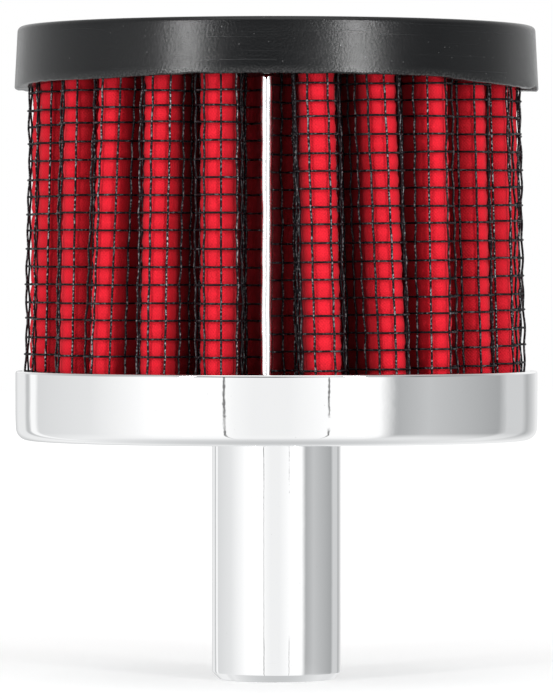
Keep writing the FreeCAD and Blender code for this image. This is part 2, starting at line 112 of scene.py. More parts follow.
class Board:
    """A node tree with short ways to add nodes and join them."""

    def __init__(self, tree: Tree) -> None:
        """Takes over a tree and clears it."""
        self.tree = tree
        tree.nodes.clear()

    def feed(self, node: Node, values: Values) -> None:
        """Gives a node's inputs what they need.

        Args:
            node: the node.
            values: socket name or number, and the value or the output that goes into it.
        """
        for socket, value in values.items():
            if isinstance(value, Socket):
                self.tree.links.new(value, node.inputs[socket])
            else:
                node.inputs[socket].default_value = value

    def add(self, kind: str, values: Values | None = None, **settings: object) -> Node:
        """Adds one node.

        Args:
            kind: Blender's name of the node type.
            values: what its inputs need.
            settings: properties of the node itself.

        Returns:
            The node.
        """
        node = self.tree.nodes.new(kind)
        for name, value in settings.items():
            setattr(node, name, value)
        self.feed(node, values or {})
        return node

    def math(self, operation: str, first: Value, second: Value = 0.0) -> Socket:
        """Gives the result of one sum on two values or outputs."""
        return self.add("ShaderNodeMath", {0: first, 1: second}, operation=operation).outputs[0]

    def plus(self, first: Value, second: Value, share: float) -> Socket:
        """Adds a share of a second value to a first."""
        return self.math("ADD", first, self.math("MULTIPLY", second, share))

    def blend(self, share: Value, first: Value, second: Value) -> Socket:
        """Gives the first colour where the share is 0 and the second where it is 1."""
        return self.add("ShaderNodeMix", {0: share, 6: first, 7: second}, data_type="RGBA").outputs[2]

    def span(self, value: Value, given: Pair, wanted: Pair = WHOLE) -> Socket:
        """Carries a value from a given range to a wanted one, and holds it at the ends."""
        ends = dict(zip(("From Min", "From Max", "To Min", "To Max"), given + wanted))
        return self.add("ShaderNodeMapRange", {"Value": value, **ends}).outputs[0]

    def noise(self, point: Value, scale: Value, detail: float) -> Socket:
        """Gives smooth noise at a point."""
        return self.add("ShaderNodeTexNoise", {"Vector": point, "Scale": scale, "Detail": detail}).outputs[0]

    def length(self, vector: Value) -> Socket:
        """Gives the length of a vector."""
        return self.add("ShaderNodeVectorMath", {0: vector}, operation="LENGTH").outputs["Value"]

    def place(self) -> Socket:
        """Gives the point on the piece, in metres."""
        return self.add("ShaderNodeTexCoord").outputs["Object"]

    def measure(self, name: str) -> Socket:
        """Gives a number that the piece's points carry."""
        return self.add("ShaderNodeAttribute", attribute_name=name).outputs["Fac"]

    def mirrored(self, path: Node) -> Socket:
        """Tells rays that a piece reflects or lets through from the others."""
        return self.math("MAXIMUM", path.outputs["Is Glossy Ray"], path.outputs["Is Transmission Ray"])


class Effects:
    """Shader node groups that several finishes share, each built once."""

    MOTTLE_SPAN = (0.3, 0.7)
    SCUFF_TURNS = 1.1
    SCUFF_RARE = 0.78
    SCUFF_SPREAD = 0.3
    SCUFF_EDGE = 6.0
    PATCH_SCALE = 160.0
    SPECK_EDGE = 25.0

    def __init__(self) -> None:
        """Builds every group."""
        self.grain = self._grain()
        self.ring_scuffs = self._ring_scuffs()
        self.specks = self._specks()

    @staticmethod
    def _start(name: str, inputs: dict[str, float], outputs: Sequence[str]) -> tuple[Board, Node, Node]:
        """Makes an empty group.

        Args:
            name: name of the group.
            inputs: names and first values of its inputs.
            outputs: names of its outputs.

        Returns:
            The group's board, its input node and its output node.
        """
        tree = bpy.data.node_groups.new(name, "ShaderNodeTree")
        for socket, value in inputs.items():
            item = tree.interface.new_socket(name=socket, in_out="INPUT", socket_type="NodeSocketFloat")
            item.default_value = value
        for socket in outputs:
            tree.interface.new_socket(name=socket, in_out="OUTPUT", socket_type="NodeSocketFloat")
        board = Board(tree)
        return board, board.add("NodeGroupInput"), board.add("NodeGroupOutput")

    @staticmethod
    def _mask(board: Board, level: Value, threshold: Value, edge: float) -> Socket:
        """Gives a mask where a level passes a threshold, with an edge of a set sharpness."""
        over = board.math("MULTIPLY", board.math("SUBTRACT", level, threshold), edge)
        return board.add("ShaderNodeClamp", {0: over}).outputs[0]

    def _grain(self) -> Tree:
        """Builds fine moulded or fibrous grain: a height, and a slow mottle.

        Returns:
            The group.
        """
        inputs = {"Scale": 4000.0, "Mottle": 300.0}
        board, given, made = self._start("fine_grain", inputs, ["Height", "Mottle"])
        fine = board.noise(board.place(), given.outputs["Scale"], 3.0)
        slow = board.noise(board.place(), given.outputs["Mottle"], 4.0)
        board.feed(made, {"Height": fine, "Mottle": board.span(slow, self.MOTTLE_SPAN)})
        return board.tree

    def _ring_scuffs(self) -> Tree:
        """Builds thin scratches that run round the axis.

        Returns:
            The group.
        """
        board, given, made = self._start("ring_scuffs", {"Across": 9000.0, "Amount": 0.5}, ["Mask"])
        point = board.add("ShaderNodeSeparateXYZ", {0: board.place()}).outputs
        along = board.math("MULTIPLY", board.math("ARCTAN2", point[0], point[1]), self.SCUFF_TURNS)
        flat = board.add("ShaderNodeCombineXYZ", {0: point[0], 1: point[1]}).outputs[0]
        down = board.math("SUBTRACT", board.length(flat), point[2])
        across = board.math("MULTIPLY", down, given.outputs["Across"])
        streak = board.add("ShaderNodeCombineXYZ", {0: along, 1: across}).outputs[0]
        spread = board.math("MULTIPLY", given.outputs["Amount"], self.SCUFF_SPREAD)
        low = board.math("SUBTRACT", self.SCUFF_RARE, spread)
        mask = self._mask(board, board.noise(streak, 1.0, 4.0), low, self.SCUFF_EDGE)
        board.feed(made, {"Mask": mask})
        return board.tree

    def _specks(self) -> Tree:
        """Builds loose dust: small round specks, thicker in some places than in others.

        Returns:
            The group.
        """
        board, given, made = self._start("dust_specks", {"Scale": 1500.0, "Amount": 0.2}, ["Mask"])
        values = {"Vector": board.place(), "Scale": given.outputs["Scale"]}
        cells = board.add("ShaderNodeTexVoronoi", values).outputs["Distance"]
        patch = board.noise(board.place(), self.PATCH_SCALE, 2.0)
        size = board.math("MULTIPLY", given.outputs["Amount"], patch)
        board.feed(made, {"Mask": self._mask(board, size, cells, self.SPECK_EDGE)})
        return board.tree


class Skin(Board):
    """A new material: one shader, with the shared grain laid over the piece."""

    def __init__(self, name: str, effects: Effects, scales: Pair) -> None:
        """Starts the material.

        Args:
            name: name of the material.
            effects: the shared node groups.
            scales: scales of the fine grain and of the mottle.
        """
        self.material = bpy.data.materials.new(name)
        self.material.use_nodes = True
        super().__init__(self.material.node_tree)
        self.effects = effects
        self.shader = self.add("ShaderNodeBsdfPrincipled")
        self.add("ShaderNodeOutputMaterial", {"Surface": self.shader.outputs[0]})
        self.height, self.mottle = self._effect(effects.grain, {"Scale": scales[0], "Mottle": scales[1]})

    def _effect(self, tree: Tree, values: Values) -> list[Socket]:
        """Places a shared effect with its own values, and gives its outputs."""
        return list(self.add("ShaderNodeGroup", values, node_tree=tree).outputs)

    def scuffs(self, across: float, amount: float) -> Socket:
        """Gives the mask of the scratches round the axis."""
        return self._effect(self.effects.ring_scuffs, {"Across": across, "Amount": amount})[0]

    def specks(self, scale: float, amount: float) -> Socket:
        """Gives the mask of the dust."""
        return self._effect(self.effects.specks, {"Scale": scale, "Amount": amount})[0]

    def dress(self, values: Values, height: Socket, relief: Relief) -> None:
        """Gives the shader its values and its fine relief.

        Args:
            values: the shader's inputs and what goes into them.
            height: height of the relief.
            relief: how strongly it shows.
        """
        shown = {"Strength": relief.strength, "Distance": relief.step, "Height": height}
        self.feed(self.shader, {**values, "Normal": self.add("ShaderNodeBump", shown).outputs[0]})


def grey(level: float, cool: float = 0.0) -> Colour:
    """Gives a grey that is neutral, or cool by a share."""
    return (level * (1.0 - cool), level * (1.0 - COOL_GREEN * cool), level * (1.0 + COOL_BLUE * cool), 1.0)


@dataclass(frozen=True)
class Finish:
    """What every finish has: a name, the scales of its grain and mottle, and its relief."""

    name: str
    scales: Pair
    relief: Relief

    def material(self, effects: Effects) -> Material:
        """Builds the material.

        Args:
            effects: the shared node groups.

        Returns:
            The material.
        """
        skin = Skin(self.name, effects, self.scales)
        self.dress(skin)
        return skin.material

    def dress(self, skin: Skin) -> None:
        """Gives a new material the looks of this finish."""
        raise NotImplementedError


@dataclass(frozen=True)
class UrethaneFinish(Finish):
    """Black cast urethane with a satin skin, scuffs round it and dust."""

    scales: Pair = (5200.0, 240.0)
    relief: Relief = Relief(0.34, 0.00006)
    base: float = 0.0035
    base_cool: float = 0.2
    worn: float = 0.028
    worn_cool: float = 0.1
    dust: float = 0.16
    dust_amount: float = 0.135
    speck_scale: float = 1300.0
    scuff_across: float = 6500.0
    scuff_amount: float = 0.48
    scuff_tint: float = 0.5
    scuff_dulling: float = 0.12
    scuff_height: float = 0.34
    lip_span: Pair = (0.45, 0.62)
    lip_lightening: float = 1.7
    satin: Pair = (0.21, 0.26)
    specular: float = 0.48

    def dress(self, skin: Skin) -> None:
        """Lays scuffs, a ragged lip and dust over the satin skin.

        Args:
            skin: the new material.
        """
        scuffs = skin.scuffs(self.scuff_across, self.scuff_amount)
        specks = skin.specks(self.speck_scale, self.dust_amount)
        lip = skin.math("MULTIPLY", skin.measure("cast_edge"), skin.span(skin.height, self.lip_span))
        fresh, worn = grey(self.base, self.base_cool), grey(self.worn, self.worn_cool)
        colour = skin.blend(skin.math("MULTIPLY", scuffs, self.scuff_tint), fresh, worn)
        colour = skin.blend(lip, colour, grey(self.worn * self.lip_lightening))
        satin = skin.span(skin.mottle, WHOLE, self.satin)
        values = {
            "Base Color": skin.blend(specks, colour, grey(self.dust)),
            "Roughness": skin.plus(satin, scuffs, self.scuff_dulling),
            "Specular IOR Level": self.specular,
        }
        skin.dress(values, skin.plus(skin.height, scuffs, self.scuff_height), self.relief)


@dataclass(frozen=True)
class GauzeFinish(Finish):
    """Red oiled cotton with painted light on the folds' crowns and painted shade on the flanks and in the
    valleys, and a fine thread.
    """

    scales: Pair = (9000.0, 1000.0)
    relief: Relief = Relief(0.55, 0.00007)
    # Lit and shaded copies of the one red cloth: the crown colour is painted light, the flank and valley
    # colours are painted shade. The valley colour also darkens the gaps between threads.
    crown: Colour = (0.90, 0.015, 0.034, 1.0)
    flank: Colour = (0.50, 0.006, 0.015, 1.0)
    valley: Colour = (0.22, 0.004, 0.008, 1.0)
    valley_shade_span: Pair = (0.30, 0.86)
    crown_light_span: Pair = (0.86, 1.0)
    thread_pitch: float = 0.34
    fuzz: float = 0.22
    gap_span: Pair = (0.0, 0.45)
    gaps: float = 0.14
    fibre_height: float = 1.4
    wetness: Pair = (0.72, 0.92)
    specular: float = 0.18
    sheen: float = 0.12
    sheen_tint: Colour = (1.0, 0.25, 0.30, 1.0)

    def dress(self, skin: Skin) -> None:
        """Paints light on the crowns and shade on the flanks, in the valleys and along the hoops by the
        cloth's painted fold shade, and weaves its thread along its length and height.

        Args:
            skin: the new material.
        """
        depth = skin.measure("painted_fold_shade")
        cloth = skin.add("ShaderNodeUVMap", uv_map="cloth").outputs[0]
        way = skin.add("ShaderNodeSeparateXYZ", {0: cloth}).outputs
        turn = math.tau / self.thread_pitch
        weft, warp = (skin.math("SINE", skin.math("MULTIPLY", way[axis], turn)) for axis in (0, 1))
        weave = skin.span(skin.math("MULTIPLY", weft, warp), (-1.0, 1.0))
        # Painted shade on the flanks, in the valleys and along the hoops, and painted light on the crowns, by
        # depth in the folds.
        colour = skin.blend(skin.span(depth, self.valley_shade_span), self.valley, self.flank)
        colour = skin.blend(skin.span(depth, self.crown_light_span), colour, self.crown)
        fuzz = skin.math("MULTIPLY", skin.math("SUBTRACT", 1.0, skin.mottle), self.fuzz)
        gaps = skin.math("MULTIPLY", skin.span(weave, self.gap_span, FADING), self.gaps)
        values = {
            "Base Color": skin.blend(gaps, skin.blend(fuzz, colour, self.flank), self.valley),
            "Roughness": skin.span(skin.mottle, WHOLE, self.wetness),
            "Specular IOR Level": self.specular,
            "Sheen Weight": self.sheen,
            "Sheen Tint": self.sheen_tint,
        }
        skin.dress(values, skin.plus(weave, skin.height, self.fibre_height), self.relief)


@dataclass(frozen=True)
class WireFinish(Finish):
    """Dark dip-coated wire whose lumpy coat is rubbed to bright metal in beads on the outward side."""

    scales: Pair = (4600.0, 500.0)
    relief: Relief = Relief(0.5, 0.00004)
    coat: Colour = (0.004, 0.003, 0.005, 1.0)
    bare: Colour = (0.70, 0.69, 0.72, 1.0)
    bead_span: Pair = (0.52, 0.60)
    satin: Pair = (0.34, 0.50)
    specular: float = 0.14

    def dress(self, skin: Skin) -> None:
        """Bares the metal in beads, as far as the wires are rubbed.

        Args:
            skin: the new material.
        """
        rubbed = skin.math("MULTIPLY", skin.measure("rubbing"), skin.span(skin.height, self.bead_span))
        values = {
            "Base Color": skin.blend(rubbed, self.coat, self.bare),
            "Roughness": skin.span(skin.mottle, WHOLE, self.satin),
            "Metallic": rubbed,
            "Specular IOR Level": self.specular,
        }
        skin.dress(values, skin.height, self.relief)


@dataclass(frozen=True)
class PlateFinish(Finish):
    """Bright metal: chrome plate or a drawn strip, with handling marks."""

    scales: Pair = (3000.0, 230.0)
    relief: Relief = Relief(0.13, 0.00005)
    base: Colour = (0.95, 0.955, 0.96, 1.0)
    dull: Colour = (0.62, 0.62, 0.63, 1.0)
    polish: Pair = (0.012, 0.047)
    smudge_span: Pair = (0.35, 1.0)
    scuff_across: float = 7000.0
    scuff_amount: float = 0.25
    scuff_share: float = 0.35
    speck_scale: float = 900.0
    speck_amount: float = 0.10
    speck_share: float = 0.5
    mark_dulling: float = 0.25

    def dress(self, skin: Skin) -> None:
        """Dulls the polish with smudges, scuffs and specks.

        Args:
            skin: the new material.
        """
        scuffs = skin.scuffs(self.scuff_across, self.scuff_amount)
        specks = skin.specks(self.speck_scale, self.speck_amount)
        marks = skin.plus(skin.math("MULTIPLY", scuffs, self.scuff_share), specks, self.speck_share)
        shine = skin.span(skin.mottle, self.smudge_span, self.polish)
        values = {
            "Base Color": skin.blend(marks, self.base, self.dull),
            "Roughness": skin.plus(shine, marks, self.mark_dulling),
            "Metallic": 1.0,
        }
        skin.dress(values, skin.mottle, self.relief)


def grid_faces(rows: int, columns: int, start: int = 0) -> Faces:
    """Lists the quads of a grid of points whose last column meets its first.

    Args:
        rows: points one way.
        columns: points the other way, which comes first in the numbering.
        start: number of the grid's first point.

    Returns:
        Four point numbers for each quad.
    """
    row, column = np.meshgrid(np.arange(rows - 1) * columns, np.arange(columns), indexing="ij")
    after = (column + 1) % columns
    corners = (row + column, row + after, row + columns + after, row + columns + column)
    return (start + np.stack([corner.ravel() for corner in corners], axis=1)).tolist()


def make_piece(
    name: str, points: Array, faces: Faces, finish: Material, nodes: Sequence[str], crease: float
) -> bpy.types.Object:
    """Makes one piece of the part and hangs it on the frame.

    Args:
        name: name of the piece.
        points: its corners in millimetres.
        faces: point numbers of each face.
        finish: its material.
        nodes: solids of the frame that it stands for.
        crease: angle in degrees over which an edge is sharp.

    Returns:
        The object.
    """
    mesh = bpy.data.meshes.new(name)
    mesh.from_pydata((points * MM).tolist(), [], faces)
    work = bmesh.new()
    work.from_mesh(mesh)
    bmesh.ops.recalc_face_normals(work, faces=work.faces)
    work.to_mesh(mesh)
    work.free()
    mesh.shade_smooth()
    mesh.set_sharp_from_angle(angle=math.radians(crease))
    mesh.materials.append(finish)
    piece = bpy.data.objects.new(name, mesh)
    bpy.context.scene.collection.objects.link(piece)
    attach(piece, "root")
    if nodes:
        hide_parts(*nodes)
    LOG.info("%s: %d points, %d faces", name, len(mesh.vertices), len(mesh.polygons))
    return piece


def add_measure(piece: bpy.types.Object, name: str, values: Array) -> None:
    """Stores one number per point for the finish to read."""
    measure = piece.data.attributes.new(name, "FLOAT", "POINT")
    measure.data.foreach_set("value", np.asarray(values, dtype=np.float32))


def heading(angle: float | Array) -> Array:
    """Gives the flat direction at each angle."""
    return np.stack([np.cos(angle), np.sin(angle)], axis=-1)


def facing(degrees: float) -> tuple[Array, Array]:
    """Gives the way out from the axis at an angle, and the way square to it."""
    out = heading(math.radians(degrees))
    return out, np.array([-out[1], out[0]])


def arc(centre: Pair, radius: float, ends: Pair, steps: int) -> list[Pair]:
    """Gives points on an arc of an outline, between two angles in degrees from the outward way."""
    ways = heading(np.radians(np.linspace(*ends, steps)))
    return [(centre[0] + radius * way[0], centre[1] + radius * way[1]) for way in ways]


def levelled(points: Array, height: float | Array) -> Array:
    """Lifts flat points to one height, or each to its own."""
    return np.column_stack([points, np.broadcast_to(height, len(points))])


def draws(seed: int) -> np.random.Generator:
    """Starts a row of random draws."""
    return np.random.default_rng(int(seed))


def slow_noise(values: Array, seed: int, waves: Row) -> Array:
    """Gives a smooth random curve between about -1 and 1.

    Args:
        values: where to read it, in radians.
        seed: which curve.
        waves: how many times each of its parts repeats in a full turn.

    Returns:
        The curve's values.
    """
    phases = draws(seed).uniform(0.0, math.tau, len(waves))
    return sum(np.sin(values * wave + phase) for wave, phase in zip(waves, phases)) / len(waves)


@dataclass
class Stations:
    """How finely the folds are followed."""

    tip: int = 13
    flank: int = 6
    valley: int = 8

    @property
    def per_fold(self) -> int:
        """Counts the points along one fold."""
        return self.tip + 2 * self.flank + self.valley


@dataclass
class FoldLaw:
    """Where the folds of the element run: crowns and valleys as rounds joined by straight flanks.

    The shifts give, in degrees at the top and at the bottom, how far the folds to the right and to the left
    of the seam stand off their even places. The bulges give how far single crowns stand out.
    """

    count: int = 26
    crown_reach: float = 24.2
    crown_round: float = 1.72
    valley_round: float = 0.85
    depth: float = 7.3
    seam_reach: float = 20.05
    seam_round: float = 0.30
    low: float = 2.6
    middle: float = 20.0
    high: float = 36.6
    narrow: float = 0.987
    wide: float = 1.005
    right_shift: Pairs = ((-1.7, 0.3), (0.2, 3.4), (2.0, 3.2), (3.0, 5.0), (2.0, 4.5), (1.5, 3.0))
    left_shift: Pairs = ((1.8, 2.0), (0.9, -0.3), (0.6, -2.4), (0.8, -0.6), (-2.0, -4.5), (-1.0, -2.5))
    bulge: tuple[tuple[int, float], ...] = ((6, -0.18), (7, -0.18), (-6, 0.10), (-7, 0.10))
    stray: float = 0.5
    crown_stray: float = 0.10
    valley_stray: float = 0.20

    def __post_init__(self) -> None:
        """Settles how far each fold stands off its even place, at the top and at the bottom."""
        draw = draws(Seed.FOLDS)
        self.top_shift = draw.normal(0.0, self.stray, self.count)
        self.bottom_shift = self.top_shift + draw.normal(0.0, self.stray, self.count)
        for side, shifts in ((1, self.right_shift), (-1, self.left_shift)):
            for place, (top, bottom) in enumerate(shifts, start=1):
                self.top_shift[side * place], self.bottom_shift[side * place] = top, bottom
        self.top_shift[0] = self.bottom_shift[0] = 0.0
        self.crown_shift = draw.normal(0.0, self.crown_stray, self.count)
        self.valley_shift = draw.normal(0.0, self.valley_stray, self.count)
        for place, extra in self.bulge:
            self.crown_shift[place] = extra

    def fallen(self, height: float) -> float:
        """Gives how far down a height lies, from 0 at the top to 1 at the bottom."""
        return (self.high - height) / (self.high - self.low)

    def cone(self, height: float) -> float:
        """Gives how much wider the element is at a height than its even size."""
        return self.narrow + (self.wide - self.narrow) * self.fallen(height)

    def section(self, height: float, offset: float, stations: Stations) -> tuple[Array, Array]:
        """Cuts the folds at one height.

        Args:
            height: height of the cut.
            offset: distance outside the gauze's outer face.
            stations: how finely the folds are followed.

        Returns:
            Points of the closed line, and the way out of the gauze at each.
        """
        shift = self.top_shift + (self.bottom_shift - self.top_shift) * self.fallen(height)
        crown = np.radians(SEAM_TURN + 360.0 / self.count * np.arange(self.count) + shift)
        reach = (self.crown_reach + self.crown_shift) * self.cone(height)
        rounding = np.full(self.count, self.crown_round)
        reach[0], rounding[0] = self.seam_reach, self.seam_round
        middle = (reach - rounding)[:, None] * heading(crown)
        rounding = rounding + offset
        trough = (crown + np.append(crown[1:], crown[0] + math.tau)) / 2.0
        floor = self.crown_reach - self.depth + self.valley_round + self.valley_shift
        hollow = floor[:, None] * heading(trough)
        hollow_round = self.valley_round - offset
        ahead = self._flank(middle, hollow, rounding + hollow_round, -1.0)
        next_middle, next_round = np.roll(middle, -1, axis=0), np.roll(rounding, -1)
        behind = self._flank(next_middle, hollow, next_round + hollow_round, 1.0)
        tip_way = self._swept(np.roll(behind, 1), ahead, crown, stations.tip)
        valley_way = self._swept(ahead, behind, trough, stations.valley)
        tip = middle[:, None, :] + rounding[:, None, None] * tip_way
        valley = hollow[:, None, :] - hollow_round * valley_way
        step = np.linspace(0.0, 1.0, stations.flank + 2)[1:-1, None]
        down = tip[:, -1:] + (valley[:, :1] - tip[:, -1:]) * step
        up = valley[:, -1:] + (np.roll(tip, -1, axis=0)[:, :1] - valley[:, -1:]) * step
        down_way, up_way = (np.repeat(way[:, -1:], stations.flank, axis=1) for way in (tip_way, valley_way))
        points = np.concatenate([tip, down, valley, up], axis=1).reshape(-1, 2)
        ways = np.concatenate([tip_way, down_way, valley_way, up_way], axis=1).reshape(-1, 2)
        return points, ways

    def along(self, offset: float, stations: Stations) -> tuple[Array, float]:
        """Measures the closed line at half height.

        Args:
            offset: distance outside the gauze's outer face.
            stations: how finely the folds are followed.

        Returns:
            The way along the line to each station, and its whole length.
        """
        points, _ = self.section(self.middle, offset, stations)
        steps = np.hypot(*np.diff(points, axis=0, append=points[:1]).T)
        return np.concatenate([[0.0], np.cumsum(steps)[:-1]]), float(steps.sum())

    @staticmethod
    def _flank(middle: Array, hollow: Array, gap: Array, side: float) -> Array:
        """Finds the flanks that join crowns to valleys.

        Args:
            middle: middles of the crowns' rounds.
            hollow: middles of the valleys' rounds.
            gap: radii of both rounds together.
            side: -1 for the flank after a crown, 1 for the one before it.

        Returns:
            Angle of the way out of each flank.
        """
        line = hollow - middle
        length = np.hypot(line[:, 0], line[:, 1])
        return np.arctan2(line[:, 1], line[:, 0]) + side * np.arccos(gap / length)

    @staticmethod
    def _swept(start: Array, end: Array, about: Array, steps: int) -> Array:
        """Sweeps each round from its first flank to its last.

        Args:
            start: angle at which each round starts.
            end: angle at which it ends.
            about: angle of its middle, which both are brought within half a turn of.
            steps: directions in each round.

        Returns:
            The ways out, round by round.
        """
        start, end = (about + (angle - about + math.pi) % math.tau - math.pi for angle in (start, end))
        return heading(start[:, None] + (end - start)[:, None] * np.linspace(0.0, 1.0, steps))


class WireBundle:
    """Round wires gathered into one mesh."""

    CREASE = 80.0

    def __init__(self, thickness: float, sides: int) -> None:
        """Starts an empty bundle of wires of one size."""
        self.radius = thickness / 2.0
        self.angle = np.arange(sides) * math.tau / sides
        self.points: list[Array] = []
        self.faces: Faces = []

    def add(self, path: Array, first: Array, second: Array) -> None:
        """Adds one wire with closed ends.

        Args:
            path: points of the wire's middle.
            first: one way square to the path, at each point.
            second: the other way square to it.
        """
        turn = heading(self.angle)[:, :, None]
        ring = turn[:, 0] * first[:, None, :] + turn[:, 1] * second[:, None, :]
        sides = len(self.angle)
        start = sum(len(wire) for wire in self.points)
        last = start + (len(path) - 1) * sides
        self.points.append((path[:, None, :] + self.radius * ring).reshape(-1, 3))
        self.faces += grid_faces(len(path), sides, start)
        self.faces += [list(range(end, end + sides)) for end in (start, last)]

    def outward(self) -> Array:
        """Gives how squarely each point of a wire's round looks out of the cloth, from 0 to 1."""
        return np.clip(np.cos(self.angle), 0.0, 1.0) ** 2

    def piece(self, name: str, finish: Material, nodes: Sequence[str]) -> bpy.types.Object:
        """Makes the piece."""
        points = np.concatenate(self.points)
        return make_piece(name, points, self.faces, finish, nodes, self.CREASE)


@dataclass
class Weave:
    """The wire cloth's own grid: rows of hoops and the uprights between them.

    The climb gives, for shares of the way round from the seam, how far the rows rise there.
    """

    top_row: float = 34.57
    row_pitch: float = 1.715
    climb: Pairs = ((0.0, 0.0), (0.22, 0.55), (0.5, 0.1), (0.78, -0.37), (1.0, -0.47))
    upright_pitch: float = 1.8
    wire: float = 0.23
    upright_wave: float = 0.055
    hoop_wave: float = 0.05
    row_stray: float = 0.10
    row_waves: Row = (1.0, 2.0, 5.0, 9.0)
    loose_rows: float = 3.0
    settled: float = 0.4
    uneven: float = 0.08
    uneven_above: float = 0.16
    rows_above: int = 1
    rows_below: int = 19
    foot: float = 0.1
    head: float = 0.3

    def climbed(self, share: Array) -> Array:
        """Gives how far the rows rise along their way round."""
        return np.interp(share, *np.array(self.climb).T)

    def row_height(self, row: int, share: Array) -> Array:
        """Gives the height of one hoop along its way round.

        Args:
            row: number of the row, from the top.
            share: how far round from the seam, from 0 to 1.

        Returns:
            Heights.
        """
        stray = draws(Seed.ROW_STRAY + row).normal(0.0, self.row_stray)
        upper = math.exp(-max(row, 0) / self.loose_rows)
        wave = slow_noise(share * math.tau, Seed.ROW_WAVE + row, self.row_waves)
        even = self.top_row - self.row_pitch * row + self.climbed(share)
        return even + stray * (self.settled + upper) + wave * (self.uneven + self.uneven_above * upper)

    def row_at(self, height: float, share: Array) -> Array:
        """Gives the row number, with its fraction, at a height."""
        return (self.top_row + self.climbed(share) - height) / self.row_pitch


@dataclass
class OuterScreen:
    """Woven wire over the outside of the gauze."""

    law: FoldLaw
    finish: Material
    weave: Weave = field(default_factory=Weave)
    stations: Stations = field(default_factory=Stations)
    stand_off: float = 0.42
    slack: float = 0.10
    slack_turns: float = 3.0
    slack_lean: float = 0.06
    slack_waves: Row = (3.0, 7.0, 13.0)
    tuck: float = 0.45
    tuck_depth: float = 0.1
    hoop_rub: Pair = (0.0, 0.25)
    upright_rub: Pair = (0.2, 0.78)
    upright_stray: float = 0.10
    most_uprights: int = 1000
    steps_per_row: float = 4.0
    sides: int = 6

    def _slack_at(self, share: Array, height: float | Array) -> Array:
        """Gives how far the cloth stands away from its even offset."""
        spot = share * math.tau * self.slack_turns + np.asarray(height) * self.slack_lean
        return self.slack * slow_noise(spot, Seed.SLACK, self.slack_waves)

    def _tucked(self, side: float) -> Array:
        """Gives the spot beside the seam where a hoop's end goes into the clip."""
        out, across = facing(SEAM_TURN)
        return (self.law.seam_reach - self.tuck_depth) * out - side * self.tuck * across

    def hoops(self, rows: range, name: str, nodes: Sequence[str] = ()) -> None:
        """Builds the hoops of some rows as one piece.

        Args:
            rows: row numbers.
            name: name of the piece.
            nodes: solids that it stands for.
        """
        first = self.stations.tip
        along, length = self.law.along(self.stand_off, self.stations)
        along = along[first:]
        share, beat = along / length, along / self.weave.upright_pitch
        bundle = WireBundle(self.weave.wire, self.sides)
        for row in rows:
            height = self.weave.row_height(row, share)
            line, way = self.law.section(float(height.mean()), self.stand_off, self.stations)
            way = way[first:]
            wave = self.weave.hoop_wave * np.cos(math.pi * (beat + row))
            line = line[first:] + way * (self._slack_at(share, height) - wave)[:, None]
            line[0], line[-1] = self._tucked(-1.0), self._tucked(1.0)
            bundle.add(levelled(line, height), levelled(way, 0.0), np.tile(UP, (len(way), 1)))
        piece = bundle.piece(name, self.finish, nodes)
        chance = draws(Seed.HOOP_RUB + rows.start).uniform(*self.hoop_rub, (len(rows), len(along), 1))
        add_measure(piece, "rubbing", (chance * bundle.outward()).ravel())

    def uprights(self, part: slice, name: str) -> None:
        """Builds some of the uprights as one piece.

        Args:
            part: which uprights.
            name: name of the piece.
        """
        law, weave = self.law, self.weave
        along, length = law.along(self.stand_off, self.stations)
        begin = math.ceil(along[self.stations.tip] / weave.upright_pitch)
        number = np.arange(begin, int(length / weave.upright_pitch))[part]
        stray = draws(Seed.UPRIGHTS).normal(0.0, self.upright_stray, self.most_uprights)[number]
        place = number * weave.upright_pitch + stray
        share = place / length
        station = np.interp(place, along, np.arange(len(along)))
        lower = np.floor(station).astype(int)
        upper = (lower + 1) % len(along)
        blend = (station - lower)[:, None]
        step = weave.row_pitch / self.steps_per_row
        heights = np.arange(law.low + weave.foot, law.high - weave.head, step)
        paths, ways = [], []
        for height in heights:
            cut = law.section(float(height), self.stand_off, self.stations)
            line, way = (values[lower] * (1.0 - blend) + values[upper] * blend for values in cut)
            way = way / np.hypot(way[:, 0], way[:, 1])[:, None]
            wave = weave.upright_wave * np.cos(math.pi * (weave.row_at(height, share) + number))
            paths.append(levelled(line + way * (wave + self._slack_at(share, height))[:, None], height))
            ways.append(levelled(way, 0.0))
        bundle = WireBundle(weave.wire, self.sides)
        for path, way in zip(np.stack(paths, axis=1), np.stack(ways, axis=1)):
            bundle.add(path, way, np.cross(way, UP))
        piece = bundle.piece(name, self.finish, ())
        chance = draws(Seed.UPRIGHT_RUB + number[0]).uniform(*self.upright_rub, (len(number), 1, 1))
        add_measure(piece, "rubbing", np.tile(chance * bundle.outward(), (1, len(heights), 1)).ravel())

    def build(self) -> None:
        """Builds the hoops and the uprights, in pieces of a handy size."""
        half = self.weave.rows_below // 2
        self.hoops(range(-self.weave.rows_above, half), "outer_hoops_upper", ("outer_screen",))
        self.hoops(range(half, self.weave.rows_below), "outer_hoops_lower")
        self.uprights(slice(0, None, 2), "outer_uprights_even")
        self.uprights(slice(1, None, 2), "outer_uprights_odd")


